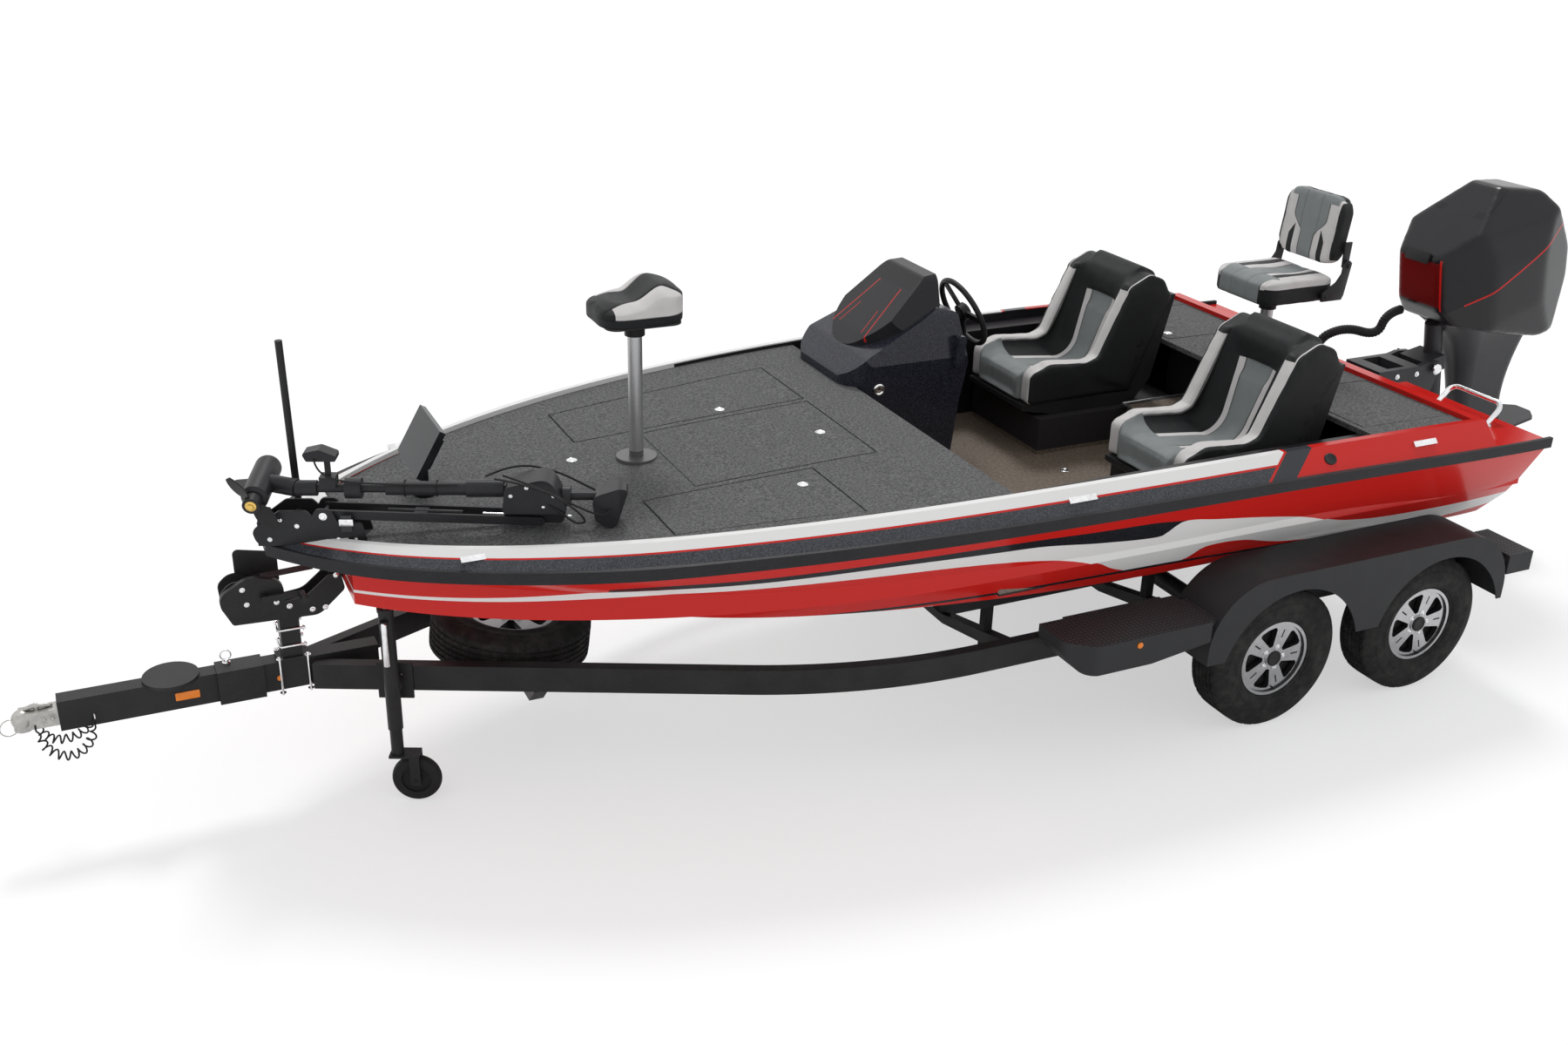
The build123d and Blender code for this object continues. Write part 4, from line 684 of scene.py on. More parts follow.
def softened(piece, rounds, moved=None):
    """Smooths the piece's mesh, then puts each vertex where moved says."""
    form = bmesh.new()
    form.from_mesh(piece.data)
    for _ in range(rounds):
        bmesh.ops.smooth_vert(form, verts=form.verts, factor=0.5, use_axis_x=True, use_axis_y=True,
                              use_axis_z=True)
    form.normal_update()
    if moved:
        for vertex in form.verts:
            vertex.co = moved(vertex)
    form.to_mesh(piece.data)
    form.free()


def voxels(name, mesh, size):
    """A new piece from the mesh, rebuilt in even cells."""
    piece = bpy.data.objects.new(name, mesh)
    scene.collection.objects.link(piece)
    remesh = piece.modifiers.new("voxels", "REMESH")
    remesh.mode = "VOXEL"
    remesh.voxel_size = size
    applied(piece)
    return piece


def applied(piece):
    """Applies the piece's modifiers to its mesh."""
    bpy.context.view_layer.update()
    solid = piece.evaluated_get(bpy.context.evaluated_depsgraph_get())
    mesh = bpy.data.meshes.new_from_object(solid)
    piece.modifiers.clear()
    piece.data = mesh


def spline(points, steps=8):
    """Points along the smooth NURBS line through a route."""
    curve = bpy.data.curves.new("route", "CURVE")
    curve.dimensions = "3D"
    curve.resolution_u = steps
    run = curve.splines.new("NURBS")
    run.points.add(len(points) - 1)
    for point, place in zip(run.points, points):
        point.co = (*place, 1)
    run.order_u = 3
    run.use_endpoint_u = True
    thing = bpy.data.objects.new("route", curve)
    scene.collection.objects.link(thing)
    bpy.context.view_layer.update()
    mesh = bpy.data.meshes.new_from_object(thing.evaluated_get(bpy.context.evaluated_depsgraph_get()))
    places = [vertex.co.copy() for vertex in mesh.vertices]
    bpy.data.objects.remove(thing)
    return places


# Upholstery
DRAWN_IN = 0.004     # how far a pad is drawn in before it is blown up
PAD_CAP = 0.006      # how far a pad may bulge
STEPS = 20           # frames of the simulation


def stuffed(name, node, side, body, finish, voxel, cap, shape):
    """A soft piece from one side of a node's solid: remeshed, drawn in, seamed and blown up."""
    rough = bmesh.new()
    rough.from_mesh(nodes[node].data)
    bmesh.ops.remove_doubles(rough, verts=rough.verts, dist=1e-5)
    gone = [v for v in rough.verts if v.co.y * side < 0]
    bmesh.ops.delete(rough, geom=gone, context="VERTS")
    piece = voxels(name, mesh_from(rough, name), voxel)
    softened(piece, 3, lambda vertex: vertex.co - vertex.normal * DRAWN_IN)
    shaped(piece, shape)
    blown_up(piece, cap)
    return covered(piece, body, finish)


def blown_up(piece, cap):
    inflate(piece, cap)
    finer = piece.modifiers.new("finer", "SUBSURF")
    finer.levels = 1
    applied(piece)


def covered(piece, body, finish):
    finished(piece, body, finish, smooth=0)
    for face in piece.data.polygons:
        face.use_smooth = True
    return piece


def shaped(piece, shape):
    """Moves each vertex along its normal by what shape gives for its place and normal."""
    mesh = piece.data
    moved = [v.co + v.normal * shape(v.co, v.normal) for v in mesh.vertices]
    for vertex, place in zip(mesh.vertices, moved):
        vertex.co = place
    mesh.update()


def inflate(piece, cap):
    """Cloth under pressure, each vertex held within cap of where it began."""
    start = [v.co.copy() for v in piece.data.vertices]
    cloth = piece.modifiers.new("filling", "CLOTH")
    cloth.settings.use_pressure = True
    cloth.settings.uniform_pressure_force = 4
    cloth.settings.quality = 4
    cloth.settings.effector_weights.gravity = 0
    cloth.point_cache.frame_start = 1
    cloth.point_cache.frame_end = STEPS
    for step in range(1, STEPS + 1):
        scene.frame_set(step)
    applied(piece)
    scene.frame_set(1)
    shift = [v.co - s for v, s in zip(piece.data.vertices, start)]
    drift = sum(shift, Vector()) / len(shift)
    for vertex, place, move in zip(piece.data.vertices, start, shift):
        move = move - drift
        if move.length > cap:
            move = move * (cap / move.length)
        vertex.co = place + move


def fall(value, low, high):
    """1 below low, 0 above high, smooth between."""
    share = min(1, max(0, (value - low) / (high - low)))
    return 1 - share * share * (3 - 2 * share)


def bucket_shape(place, normal):
    across = abs(abs(place.y) - SEAT_Y)
    station = place.x + ORIGIN / 1000
    rear = station - SEAT_BACK + (place.z - 1.20) * 0.28 < 0.10
    if rear or normal.z < -0.3:
        return 0
    facing = max(0, normal.x * 0.8 + normal.z)
    hollow = -0.030 * fall(across, 0.10, 0.20) * min(1, facing) * fall(place.z, 1.50, 1.60)
    neck = (1 - fall(place.z, 1.42, 1.47)) * fall(place.z, 1.50, 1.53)
    hollow -= 0.020 * fall(across, 0.05, 0.12) * neck * min(1, facing)
    groove = -0.004 * (fall(abs(across - 0.193), 0.0, 0.012) + fall(abs(across - 0.068), 0.0, 0.010)
                       * fall(place.z, 1.45, 1.5))
    return hollow + groove


def butt_shape(place, normal):
    x = place.x + ORIGIN / 1000 - BUTT_X / 1000
    return -0.004 * fall(abs(abs(place.y) - 0.080 - abs(x - 0.02) * 0.16), 0, 0.010) if normal.z > 0.2 else 0


def aft_shape(place, normal):
    if normal.z < 0.3 and normal.x < 0.3:
        return 0
    return -0.004 * (fall(abs(abs(place.y) - 0.055), 0, 0.010) + fall(abs(abs(place.y) - 0.165), 0, 0.010))


def rounded(half_x, half_y, corner, steps=8):
    """A rectangle's outline with round corners."""
    outline = []
    for quarter, (sx, sy) in enumerate(((1, 1), (-1, 1), (-1, -1), (1, -1))):
        for k in range(steps + 1):
            turn = (quarter + k / steps) * pi / 2
            outline.append((sx * (half_x - corner) + corner * cos(turn), sy * (half_y - corner)
                            + corner * sin(turn)))
    return outline


def pad_form(name, outline, low, high, place, voxel, height):
    """A pad's base: its outline's plate, remeshed, with its thickness set by height(x, y)."""
    form = Form()
    form.slab(outline, low, high)
    bmesh.ops.recalc_face_normals(form.mesh, faces=form.mesh.faces)
    piece = voxels(name, mesh_from(form.mesh, name), voxel)

    def thick(vertex):
        x, y, z = vertex.co
        return place @ Vector((x, y, low + (z - low) / (high - low) * height(x, y)))
    softened(piece, 6, thick)
    return piece


def upholstered(piece, body, finish, cap, shape):
    """Blows the pad up, presses its seams in and covers it."""
    blown_up(piece, cap)
    shaped(piece, shape)
    return covered(piece, body, finish)


def butt_height(x, y):
    """Higher at the back, with a hollow where one leans, and round shoulders."""
    back = 0.096 + 0.056 * (1 - fall(-x, -0.03, 0.09))
    hollow = 0.012 * fall(hypot(x - 0.07, y * 0.7), 0.02, 0.14)
    edge = 0.030 * (1 - fall(hypot(x, y), 0.11, 0.20))
    return back - hollow - edge


def saddle_height(x, y):
    return 0.118 - 0.012 * fall(hypot(x + 0.05, y), 0.02, 0.16) - 0.020 * (1 - fall(abs(x), 0.15, 0.235))


def cushions():
    for label, side in (("port", 1), ("starboard", -1)):
        pad = stuffed("bucket_seat_" + label, "seat_pads", side, "root", "bucket", 0.011,
                      0.008, bucket_shape)
        if side == 1:
            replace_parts(pad, "seat_pads")
    butt = pad_form("butt_seat", rounded(0.185, 0.165, 0.105), 0.012, 0.148, frame_at(BUTT_X, 0, BUTT_Z),
                    0.009, butt_height)
    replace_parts(upholstered(butt, "fore_seat", "butt", PAD_CAP, butt_shape), "bow_seat")
    form = Form(frame_at(BUTT_X, 0, BUTT_Z))
    form.turn([(0, -0.0597), (0.042, -0.0597), (0.042, 0.0), (0.088, 0.0), (0.088, 0.012), (0, 0.012)], 40)
    form.slab(rounded(0.16, 0.15, 0.05), 0.008, 0.018)
    form.done("butt_seat_swivel", "fore_seat", "trim", 0.0015)
    pad = pad_form("aft_cushion", rounded(0.222, 0.208, 0.075), 0.014, 0.128, frame_at(AFT_X - 13, 0, AFT_Z),
                   0.009, saddle_height)
    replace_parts(upholstered(pad, "rear_seat", "aft_cushion", PAD_CAP, aft_shape), "aft_seat")
    upright = frame_at(AFT_X - 224, 0, AFT_Z + 340) @ turned("Y", 84)
    back = pad_form("aft_backrest", rounded(0.168, 0.205, 0.085), -0.036, 0.036, upright, 0.008,
                    lambda x, y: 0.072)
    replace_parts(upholstered(back, "rear_seat_back", "aft_back", PAD_CAP, aft_shape), "aft_seat_back")


def aft_seat_irons():
    """Pan, swivel and hinge irons of the folding seat, and the arms in its back."""
    base = frame_at(AFT_X, 0, AFT_Z)
    form = Form(base)
    form.turn([(0, -0.0597), (0.042, -0.0597), (0.042, 0.0), (0.085, 0.0), (0.085, 0.006), (0, 0.006)], 40)
    form.slab(rounded(0.16, 0.15, 0.03), 0.002, 0.013)
    ear = [(-0.268, 0.200), (-0.256, 0.212), (-0.236, 0.212), (-0.222, 0.200), (-0.218, 0.150),
           (-0.190, 0.110), (-0.112, 0.062), (-0.112, 0.022), (-0.235, 0.022), (-0.246, 0.045)]
    flat = turned("X", 90)
    for side in (-1, 1):
        form.slab(ear, *sorted((-side * 0.226, -side * 0.238)), flat)
        form.slab([(-0.19, 0.03), (-0.13, 0.03), (-0.13, 0.058), (-0.19, 0.058)],
                  *sorted((-side * 0.190, -side * 0.228)), flat)
        form.bolt(facing(-0.245, side * 0.238, 0.190, side), 0.011, 24)
        form.bolt(facing(-0.135, side * 0.238, 0.045, side), 0.006)
    form.done("aft_seat_irons", "rear_seat", "satin", 0.001)
    form = Form(base)
    arm = [(-0.262, 0.178), (-0.245, 0.166), (-0.228, 0.178), (-0.224, 0.300), (-0.266, 0.300)]
    for side in (-1, 1):
        form.slab(arm, *sorted((-side * 0.209, -side * 0.221)), flat)
        form.slab([(-0.26, 0.25), (-0.23, 0.25), (-0.23, 0.29), (-0.26, 0.29)],
                  *sorted((-side * 0.150, -side * 0.212)), flat)
    form.done("aft_back_arms", "rear_seat_back", "satin", 0.001)


# Wheels
TREAD = 288          # steps round a tyre
SIDEWALL = [(0.183, 0.076), (0.186, 0.083), (0.195, 0.088), (0.197, 0.092), (0.205, 0.096), (0.222, 0.1005),
            (0.226, 0.1022), (0.230, 0.1008), (0.248, 0.1020), (0.268, 0.1012), (0.272, 0.1024),
            (0.278, 0.1002), (0.292, 0.0965), (0.296, 0.0962), (0.308, 0.0900), (0.320, 0.0835),
            (0.329, 0.0775)]
# Rows across half the tread: distance from its middle, depth of a groove that runs round
CROWN = [(0.0725, 0.0015), (0.0560, 0.0005), (0.0545, 0.0075), (0.0475, 0.0075), (0.0460, 0.0),
         (0.0290, 0.0), (0.0275, 0.0075), (0.0205, 0.0075), (0.0190, 0.0), (0.0060, 0.0), (0.0045, 0.0070),
         (0.0, 0.0070)]


def tyre(name, place, body, node):
    """Sidewall rings, tread grooves round the tyre, and cross cuts that leave blocks."""
    form = bmesh.new()
    outer = [(TYRE_RADIUS / 1000 - depth, across, depth < 0.002) for across, depth in CROWN]
    half = [(radius, across, False) for radius, across in SIDEWALL] + outer
    rows = half + [(radius, -across, block) for radius, across, block in reversed(half[:-1])]
    grid = []
    for k in range(TREAD):
        ring = []
        for radius, across, block in rows:
            shoulder = abs(across) > 0.050
            shift = 0 if shoulder else (3 if abs(across) > 0.025 else 6)
            period = 8 if shoulder else 6
            cut = 0.0055 if block and (k + shift + int(abs(across) * 120)) % period == 0 else 0.0
            angle = tau * k / TREAD
            ring.append(form.verts.new(place @ Vector(((radius - cut) * cos(angle),
                                                       (radius - cut) * sin(angle), across))))
        grid.append(ring)
    for k in range(TREAD):
        for low, high, far, near in zip(grid[k - 1], grid[k - 1][1:], grid[k][1:], grid[k]):
            form.faces.new((low, high, far, near))
        form.faces.new((grid[k - 1][-1], grid[k - 1][0], grid[k][0], grid[k][-1]))
    bmesh.ops.recalc_face_normals(form, faces=form.faces)
    piece = finished(bpy.data.objects.new(name, mesh_from(form, name)), body,
                     "tyre", smooth=32)
    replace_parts(piece, node)


def wheel_nuts(name, place, body):
    form = Form(place)
    for k in range(5):
        turn = radians(36 + 72 * k)
        form.bolt(Matrix.Translation((0.054 * cos(turn), 0.054 * sin(turn), 0.0675)), 0.0085)
    form.steel(name, body, 0.0008)


def wheels():
    for wheel, place in WHEELS.items():
        tyre("tread_" + wheel, place, "wheel_" + wheel, "tyre_" + wheel)
        wheel_nuts("wheel_nuts_" + wheel, place, "wheel_" + wheel)
        form = Form(place)
        form.turn([(0.037, 0.070), (0.037, 0.0785), (0.033, 0.082), (0.026, 0.0825), (0.024, 0.080),
                   (0, 0.080), (0, 0.070)], 48)
        form.turn([(0.034, 0.030), (0.168, 0.030), (0.170, 0.024), (0.034, 0.024), (0.034, 0.030)], 64)
        form.done("hub_cap_" + wheel, "wheel_" + wheel, "trim", 0.0006)
        form = Form(place)
        turn = radians(100)
        form.pipe([Vector((0.160 * cos(turn), 0.160 * sin(turn), 0.060 + 0.004 * k)) for k in range(7)],
                  [0.003, 0.003, 0.003, 0.004, 0.004, 0.004, 0.003], 10)
        form.done("valve_" + wheel, "wheel_" + wheel, "rubber")


def spare_wheel():
    tyre("spare_tread", SPARE, "root", "spare_wheel")
    metal = bmesh.new()
    metal.from_mesh(nodes["spare_wheel"].data)
    gone = [v for v in metal.verts if hypot(*(SPARE.inverted() @ v.co).xy) > 0.1811]
    bmesh.ops.delete(metal, geom=gone, context="VERTS")
    rim = bpy.data.objects.new("spare_rim", mesh_from(metal, "spare_rim"))
    finished(rim, "root", "spare_rim")
    wheel_nuts("spare_nuts", SPARE, "root")


# Fittings
def bow_motor_fittings():
    mount = [(0.085, -0.095, 0.006), (0.150, -0.095, 0.006), (0.300, -0.040, 0.006), (0.405, -0.095, 0.006),
             (0.360, -0.015, 0.005), (0.200, 0.0, 0.010)]
    Form(BOW_MOTOR).bolts(mount, 0.0621).steel("bow_mount_bolts", "root")
    housing = [(-0.500, 0.085, 0.005), (-0.560, 0.118, 0.005), (-0.660, 0.085, 0.005),
               (-0.620, 0.040, 0.004)]
    Form(BOW_MOTOR).bolts(housing, 0.0661).steel("housing_bolts", "trolling_motor")
    form = Form(BOW_MOTOR)
    route = [Vector((-x, 0, -x * 0.035)) for x in (0.03, 0.10, 0.20, 0.31)]
    form.pipe(route, 0.0095, 20)
    form.done("gas_strut_body", "trolling_arm", "satin", 0.0008)
    form = Form(BOW_MOTOR)
    form.pipe([Vector((-x, 0, -x * 0.035)) for x in (0.385, 0.50, 0.60, 0.72)], 0.005, 16)
    form.steel("gas_strut_rod", "trolling_arm", 0.0)
    loops = [[(-0.44, 0.030, 0.140), (-0.52, 0.085, 0.150), (-0.64, 0.110, 0.120), (-0.760, 0.115, 0.060),
              (-0.83, 0.095, 0.020), (-0.862, 0.070, 0.015), (-0.868, 0.056, 0.030)],
             [(-0.40, -0.020, 0.130), (-0.50, -0.085, 0.160), (-0.66, -0.105, 0.120),
              (-0.780, -0.100, 0.055), (-0.85, -0.075, 0.030), (-0.872, -0.056, 0.040)],
             [(-0.47, 0.020, 0.150), (-0.60, 0.100, 0.140), (-0.730, 0.130, 0.075), (-0.790, 0.110, 0.000),
              (-0.740, 0.085, -0.020), (-0.690, 0.072, 0.020), (-0.640, 0.067, 0.050)]]
    form = Form(BOW_MOTOR)
    for route in loops:
        form.pipe(spline(route), 0.0042, 10)
    form.done("motor_cables", "trolling_motor", "rubber")
    form = Form(BOW_MOTOR)
    lead = [(0.22, 0.034, 0.218), (0.21, 0.055, 0.190), (0.17, 0.050, 0.150), (0.10, 0.040, 0.130),
            (0.00, 0.034, 0.122), (-0.12, 0.033, 0.116), (-0.30, 0.034, 0.118)]
    form.pipe(spline(lead), 0.0035, 10)
    for x in (0.09, -0.10, -0.22):
        form.pipe([Vector((x, 0, 0.090)) + Vector((0, p.x, p.y))
                   for p in ring_points(0.036 if x > 0.05 else 0.031, 28)], 0.0022, 8, False)
    form.done("sonar_lead", "trolling_motor", "rubber")
    pod = BOW_MOTOR @ Matrix.Translation((0.440, 0, 0.090)) @ turned("X", -8)
    pod = pod @ Matrix.Translation((0, 0.086, 0)) @ turned("X", -90)
    form = Form(pod)
    form.turn([(0, 0.045), (0.021, 0.045), (0.021, 0.050), (0.012, 0.052), (0.012, 0.060), (0, 0.062)], 24)
    form.done("prop_nut", "trolling_propeller", "brass", 0.0006)
    form = Form(BOW_MOTOR)
    strap = [(-0.069, -0.060), (-0.069, 0.006), (-0.0665, 0.006), (-0.0665, -0.060)]
    for side in (-1, 1):
        outline = [(y * side, z) for y, z in strap]
        form.slab(outline if side > 0 else outline[::-1], 0.095, 0.135,
                  Matrix(((0, 0, 1, 0), (1, 0, 0, 0), (0, 1, 0, 0), (0, 0, 0, 1))))
    form.done("tie_down_strap", "root", "strap", 0.0006)
    form = Form(BOW_MOTOR)
    buckle = facing(0.115, 0.069, -0.022, 1)
    form.slab(rounded(0.026, 0.014, 0.003), 0.0, 0.004, buckle)
    form.slab(rounded(0.020, 0.005, 0.002), 0.004, 0.010, buckle)
    form.steel("strap_buckle", "root", 0.0008)


def winch_fittings():
    form = Form()
    for z in (728, 655):
        form.pipe([at(5868, 43, z), at(5964, 43, z), at(5971, 36, z), at(5971, -36, z), at(5964, -43, z),
                   at(5868, -43, z)], 0.005, 14)
        for y in (-43, 43):
            form.bolt(frame_at(5874, y, z, turned("Y", -90)), 0.008)
    for x in (5868, 5977):
        for y in (-45, 45):
            form.pipe([at(x, y, 445), at(x, y, 612)], 0.005, 14)
            form.bolt(frame_at(x, y, 605.5), 0.0085)
            form.bolt(frame_at(x, y, 456, turned("X", 180)), 0.0085)
    form.steel("winch_post_bolts", "root")
    form = Form()
    for side in (-1, 1):
        face = 0.0441 if side < 0 else 0.0741
        for x, z in ((6010, 903), (5965, 870), (6075, 880), (6085, 945)):
            form.bolt(frame_at(x, 0, z) @ facing(0, side * face, 0, side), 0.007)
        for x, z in ((5728, 931), (5780, 800), (5830, 800), (5915, 830)):
            form.bolt(frame_at(x, 0, z) @ facing(0, side * 0.0441, 0, side), 0.0075)
    form.steel("winch_bolts", "root")
    form = Form()
    pin = Vector((6.170 - ORIGIN / 1000, -0.020, 0))
    form.turn([(0, 0), (0.016, 0), (0.016, 0.005), (0.010, 0.008), (0.010, 0.018), (0.0, 0.020)], 24,
              Matrix.Translation(pin + Vector((0, 0, 0.5985))))
    loop = Matrix.Translation(pin + Vector((0, 0, 0.634))) @ turned("X", 90)
    form.hoop(loop, 0.020, 0.0028, 10)
    form.steel("fold_pin_ring", "root")


def trailer_fittings():
    for name, side in (("tongue_reflector", 1), ("tongue_reflector_far", -1)):
        plate = Form(sideways(6330, 38, 520, side))
        plate.slab(rounded(0.045, 0.017, 0.004), 0.0, 0.004)
        plate.done(name, "tongue_fold", "amber", 0.001)
    for label, side in (("port", 1), ("starboard", -1)):
        form = Form()
        place = sideways(2742, 1289, 622, side)
        form.turn([(0, 0), (0.014, 0), (0.0135, 0.005), (0.009, 0.008), (0, 0.009)], 28, place)
        form.done("step_marker_" + label, "root", "amber", 0.0005)
        form = Form()
        place = sideways(5982, 38, 520, side)
        form.turn([(0, 0), (0.012, 0), (0.0115, 0.004), (0.007, 0.007), (0, 0.008)], 28, place)
        form.done("tongue_marker_" + label, "root", "amber", 0.0005)
    form = Form(JACK)
    form.pipe([Vector((0, 0.046, 0.632)), Vector((0, 0.046, 0.640)), Vector((0, 0.046, 0.820)),
               Vector((0, 0.046, 0.826))], [0.011, 0.0135, 0.0135, 0.009], 20)
    form.steel("jack_handle", "jack", 0.0005)
    form = Form(JACK)
    for z in (0.50, 0.54):
        for x in (-0.022, 0.022):
            form.bolt(facing(x, -0.0545, z, -1), 0.005)
    form.bolt(Matrix.Translation((0, 0, 0.870)), 0.009)
    form.steel("jack_bolts", "jack")


def coupler_fittings():
    """Latch, lock pin, bolts and the breakaway ring of the coupler."""
    form = Form()
    for x in (6812, 6842):
        for side in (-1, 1):
            form.bolt(sideways(x, 32.1, 526, side), 0.009)
    form.turn([(0, 0), (0.010, 0), (0.010, 0.012), (0.006, 0.014), (0.006, 0.024), (0, 0.026)], 20,
              frame_at(6862, 0, 559))
    lever = [(6806, 0, 564), (6830, 0, 570), (6870, 0, 574), (6905, 0, 566)]
    form.pipe([at(*p) for p in lever], [0.006, 0.009, 0.010, 0.008], 12)
    ring = frame_at(6962, 14, 506) @ turned("X", 90) @ turned("Y", 12)
    form.hoop(ring, 0.034, 0.0024, 8, 44)
    form.done("coupler_latch", "tongue_fold", "zinc", 0.0006)


def safety_cables():
    """Two sheathed cables coiled along their loops, from the tongue's eyes to the coupler."""
    form = Form()
    for side in (-1, 1):
        middle = [(6670, side * 44, 500), (6678, side * 54, 455), (6700, side * 64, 405),
                  (6745, side * 72, 372), (6800, side * 64, 370), (6845, side * 48, 400),
                  (6868, side * 40, 450), (6875, side * 36, 505)]
        run = spline([at(*p) for p in middle], 30)
        turns = 11
        coil = []
        across = Vector((0, side, 0))
        for k, point in enumerate(run):
            share = k / (len(run) - 1)
            along = (run[min(k + 1, len(run) - 1)] - run[max(k - 1, 0)]).normalized()
            other = along.cross(across).normalized()
            wide = 0.016 * min(1, share * 6, (1 - share) * 6)
            turn = tau * turns * share
            coil.append(point + (across * cos(turn) + other * sin(turn)) * wide)
        form.pipe(coil, 0.0034, 8)
    piece = form.done("coiled_cables", "tongue_fold", "rubber")
    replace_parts(piece, "safety_cables")
    form = Form()
    for side in (-1, 1):
        loop = frame_at(6668, side * 44, 508) @ turned("Y", 90)
        form.hoop(loop, 0.011, 0.003, 8, 24)
    form.steel("cable_eyes", "tongue_fold", 0.0)


def deck_fittings():
    """Flush latches in the lids, drains, trims and the cockpit's details."""
    latch = [(0, 0.0), (0.023, 0.0), (0.023, 0.0015), (0.0205, 0.0028), (0.017, 0.0022), (0.0155, 0.0008),
             (0.005, 0.0008), (0.004, 0.0024), (0, 0.0026)]
    for lid, x, y in (("port", 3954, 568), ("starboard", 3926, -357), ("centre", 3639, 88),
                      ("aft_port", 1307, 520), ("aft_starboard", 1307, -520)):
        form = Form(frame_at(x, y, 1000 * (sheer(x / 1000) - 0.0218)))
        form.turn(latch, 36)
        form.steel("latch_" + lid, "lid_" + lid, 0.0003)
    form = Form()
    form.turn(latch, 30, frame_at(4707, -97, 1000 * (sheer(4.707) - 0.0218)))
    for x, y in ((2206, -72), (2206, 240)):
        form.turn(latch, 30, frame_at(x, y, 800.2))
    form.steel("deck_sockets", "root", 0.0003)
    form = Form()
    for y in (-302, 302):
        form.pipe([at(1335, y, 1008), at(1720, y, 1008)], 0.006, 8)
    form.pipe([at(1722, -302, 1008), at(1722, 302, 1008)], 0.006, 8)
    form.done("step_edges", "root", "alloy", 0.0005)
    form = Form(frame_at(3127, -329, 1249) @ turned("X", -90))
    form.turn([(0, 0.0), (0.030, 0.0), (0.029, 0.004), (0.022, 0.007), (0.018, 0.004), (0.012, 0.003),
               (0.006, 0.005), (0, 0.005)], 40)
    form.steel("console_vent", "root", 0.0005)
    dash = frame_at(2667, -640, 1452) @ turned("Y", -79) @ turned("Z", 90)
    form = Form(dash)
    form.slab(rounded(0.115, 0.075, 0.012), -0.004, 0.006)
    for x in (-0.165, 0.165):
        form.turn([(0, -0.004), (0.034, -0.004), (0.034, 0.004), (0.028, 0.007), (0.026, 0.003), (0, 0.003)],
                  40, Matrix.Translation((x, 0.02, 0)))
    form.done("dash_screens", "root", "glass", 0.001)
    form = Form(frame_at(2525, -600, 1490, turned("Y", 115)))
    form.turn([(0, -0.028), (0.034, -0.026), (0.041, -0.021), (0.043, -0.0175), (0, -0.0175)], 40)
    form.done("wheel_cap", "helm", "trim", 0.001)


def net_pocket():
    """A bulging net on the back of the port seat, held open by a hoop."""
    low, high, half = 1.06, 1.50, 0.22
    rows, columns = 16, 16

    def place(u, v):
        z = low + (high - low) * v
        bulge = 0.115 * sin(pi * u) ** 0.7 * (0.35 + 0.65 * sin(pi * min(1, v * 0.55 + 0.30)))
        shell = 1.462 + max(0, 1.54 - z) * 0.20
        return Vector((shell - 0.036 - bulge - ORIGIN / 1000,
                       0.600 + half * (2 * u - 1) * (0.82 + 0.18 * v), z))
    form = Form()
    for k in range(-rows, columns + 1):
        for slope in (1, -1):
            strand = []
            for n in range(rows * 2 + 1):
                v = n / (rows * 2)
                u = (k / columns + v) if slope > 0 else (k / columns + 1 - v)
                if 0 <= u <= 1:
                    strand.append(place(u, v))
            if len(strand) > 2:
                form.pipe(strand, 0.0013, 5)
    form.done("net_pocket", "root", "rubber")
    form = Form()
    edge = [place(0, v / 12) for v in range(13)] + [place(u / 16, 1) for u in range(1, 17)] + [
        place(1, 1 - v / 12) for v in range(1, 13)] + [place(1 - u / 16, 0) for u in range(1, 17)]
    form.pipe(edge, 0.0045, 10, False)
    form.done("net_hoop", "root", "rubber")


def gunwale_vents():
    """Oval black vents low on the red gunwale near the stern."""
    for label, side in (("port", 1), ("starboard", -1)):
        aim = Vector((0, -side * 0.55, -0.83))
        above = at(1742, side * 1150, 1235) - aim * 0.3
        _, place, normal, _ = nodes["deck_moulding"].ray_cast(above, aim)
        lean = Matrix.Translation(place) @ normal.to_track_quat("Z", "Y").to_matrix().to_4x4()
        form = Form(lean @ Matrix.Diagonal((1.25, 1, 1, 1)))
        form.turn([(0, -0.006), (0.026, -0.006), (0.026, 0.003), (0.022, 0.006), (0.018, 0.003),
                   (0, 0.002)], 40)
        form.done("gunwale_vent_" + label, "root", "trim", 0.0006)


def cowl_shell():
    """The cowl with its facets' edges softened."""
    piece = voxels("cowl_shell", nodes["outboard_cowl"].data.copy(), 0.010)
    softened(piece, 16)
    finished(piece, "outboard", "cowl", smooth=60)
    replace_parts(piece, "outboard_cowl")


HOSE = [(590, -220, 1000.4), (590, -220, 1230), (440, -165, 1318), (262, -100, 1262), (225, -100, 1385)]


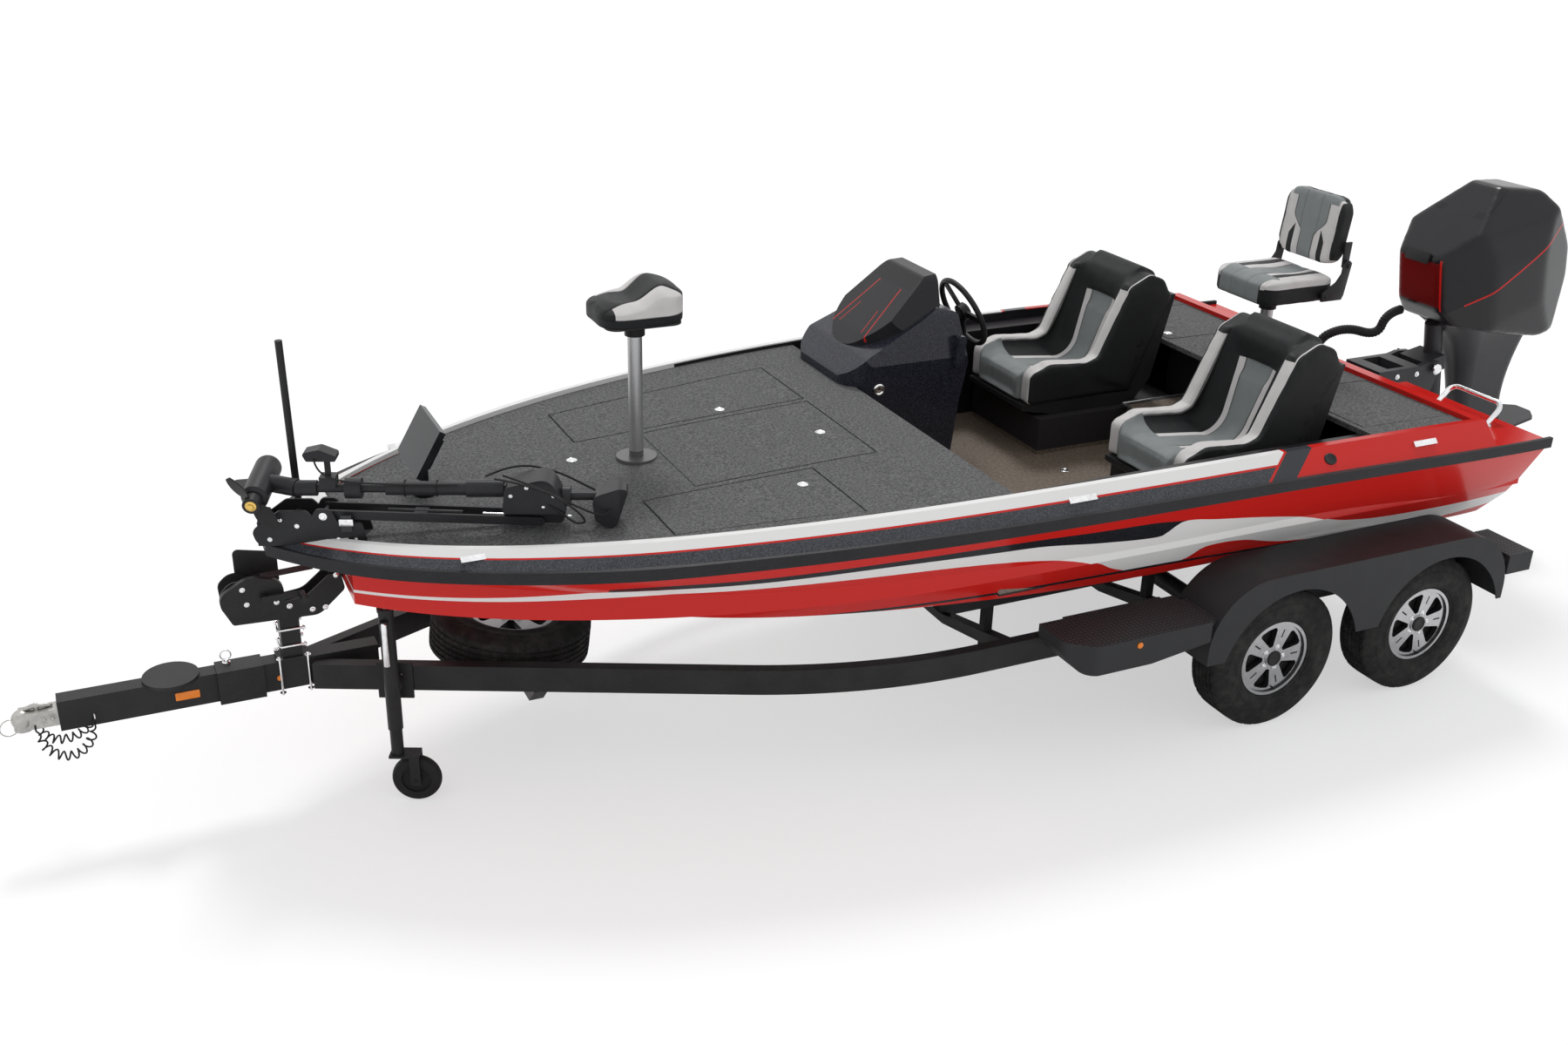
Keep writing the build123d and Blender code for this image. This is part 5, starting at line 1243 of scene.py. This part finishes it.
def rigging_hose():
    """Corrugated hose from the splash well to the cowl, made as a lower and an upper piece."""
    route = [at(*p) for p in HOSE] + [OUTBOARD @ Vector((0.022, -0.1, 0.275))]
    coarse = spline(route, 24)
    run = [0.0]
    for a, b in zip(coarse, coarse[1:]):
        run.append(run[-1] + (b - a).length)
    total, pitch = run[-1], 0.0035
    points, k = [], 0
    for n in range(int(total / pitch) + 1):
        want = n * pitch
        while k < len(run) - 2 and run[k + 1] < want:
            k += 1
        share = (want - run[k]) / max(1e-9, run[k + 1] - run[k])
        points.append(coarse[k].lerp(coarse[k + 1], min(1, share)))
    middle = min(range(len(points)), key=lambda n: (points[n] - at(228, -100, 1345)).length)
    radii = [0.0245 if n // 2 % 2 else 0.0222 for n in range(len(points))]
    for name, first, last, bodies in (("hose_lower", 0, middle, ("root", "outboard_clamp")),
                                      ("hose_upper", middle, len(points) - 1,
                                       ("outboard_clamp", "outboard"))):
        form = Form()
        form.pipe(points[first:last + 1], radii[first:last + 1], 20, False)
        piece = form.done(name, None, "rubber", smooth=50)
        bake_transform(piece)
        if name == "hose_lower":
            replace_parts(piece, "rigging_hose")


def stern_fittings():
    """Outboard details: the tilt tube's nuts, the bracket bolts and the cowl's front grip."""
    form = Form(OUTBOARD)
    for side in (-1, 1):
        form.turn([(0, 0), (0.030, 0), (0.030, 0.006), (0.022, 0.012), (0, 0.012)], 30,
                  facing(0, side * 0.1401, 0, side))
    form.steel("tilt_nuts", "outboard_clamp", 0.0006)
    form = Form()
    for side in (-1, 1):
        for x, z in ((165, 1110), (165, 1010), (165, 900), (300, 1110), (300, 930)):
            form.bolt(sideways(x, 120.2, z, side), 0.0095)
    form.steel("bracket_bolts", "root", 0.0006)
    form = Form(OUTBOARD)
    form.slab(rounded(0.030, 0.075, 0.010), 0.0, 0.010, Matrix.Translation((0.018, 0, 0.600))
              @ turned("Y", 60))
    form.done("cowl_latch", "outboard", "trim", 0.002)


cushions()
aft_seat_irons()
wheels()
spare_wheel()
bow_motor_fittings()
winch_fittings()
trailer_fittings()
deck_fittings()
net_pocket()
gunwale_vents()
rigging_hose()
stern_fittings()
cowl_shell()
safety_cables()
coupler_fittings()


# Floor, light and camera
def floor():
    form = Form()
    form.slab([(-70, -70), (70, -70), (70, 70), (-70, 70)], -0.02, 0.0)
    bmesh.ops.recalc_face_normals(form.mesh, faces=form.mesh.faces)
    ground = bpy.data.objects.new("studio_floor", mesh_from(form.mesh, "studio_floor"))
    scene.collection.objects.link(ground)
    finish = Finish("studio_floor", (0.95, 0.95, 0.95), 0.9, Specular_IOR_Level=0.0)
    glow = finish.node("Emission", {}, {"Color": (1.0, 1.0, 1.0), "Strength": 1.12})
    seen = Value(finish, finish.node("LightPath").outputs["Is Camera Ray"]) * 0.48
    both = finish.node("MixShader", {}, {0: seen, 1: finish.shader.outputs[0], 2: glow.outputs[0]})
    finish.feed(finish.tree.nodes["Material Output"], {"Surface": both.outputs[0]})
    ground.data.materials.append(finish.material)


def light():
    """A grey-white sky that the camera and mirrors see as white, and a soft sun."""
    world = bpy.data.worlds.new("studio")
    scene.world = world
    world.use_nodes = True
    tree = world.node_tree
    sky = tree.nodes["Background"]
    white = tree.nodes.new("ShaderNodeBackground")
    for node, color, strength in ((sky, (0.98, 0.99, 1.0, 1), 0.72), (white, (1, 1, 1, 1), 1)):
        node.inputs["Color"].default_value = color
        node.inputs["Strength"].default_value = strength
    rays = tree.nodes.new("ShaderNodeLightPath").outputs
    seen = rays["Is Camera Ray"]
    for ray in ("Is Glossy Ray", "Is Transmission Ray"):
        most = tree.nodes.new("ShaderNodeMath")
        most.operation = "MAXIMUM"
        tree.links.new(seen, most.inputs[0])
        tree.links.new(rays[ray], most.inputs[1])
        seen = most.outputs[0]
    blend = tree.nodes.new("ShaderNodeMixShader")
    for socket, link in zip(blend.inputs, (seen, sky.outputs[0], white.outputs[0])):
        tree.links.new(link, socket)
    tree.links.new(blend.outputs[0], tree.nodes["World Output"].inputs[0])
    sun = bpy.data.lights.new("key", "SUN")
    sun.energy = 1.25
    sun.angle = radians(14)
    key = bpy.data.objects.new("key", sun)
    key.rotation_euler = Vector((-0.25, -0.55, 1.0)).to_track_quat("Z", "Y").to_euler()
    scene.collection.objects.link(key)


def camera():
    """The photograph's viewpoint: where it stands and its turn, pitch and roll in degrees."""
    yaw, pitch, roll = radians(-115.689), radians(24.114), radians(1.548)
    ahead = Vector((cos(pitch) * cos(yaw), cos(pitch) * sin(yaw), -sin(pitch)))
    right = ahead.cross(UP).normalized()
    above = right.cross(ahead)
    lens = bpy.data.cameras.new("camera")
    lens.sensor_width = 36
    lens.lens = 36.22
    lens.clip_end = 200
    view = bpy.data.objects.new("camera", lens)
    across = right * cos(roll) + above * sin(roll)
    over = above * cos(roll) - right * sin(roll)
    axes = Matrix((across, over, -ahead)).transposed().to_4x4()
    view.matrix_world = Matrix.Translation(at(6555, 5810, 3695)) @ axes
    scene.collection.objects.link(view)
    scene.camera = view


floor()
light()
camera()
scene.view_settings.view_transform = "Standard"
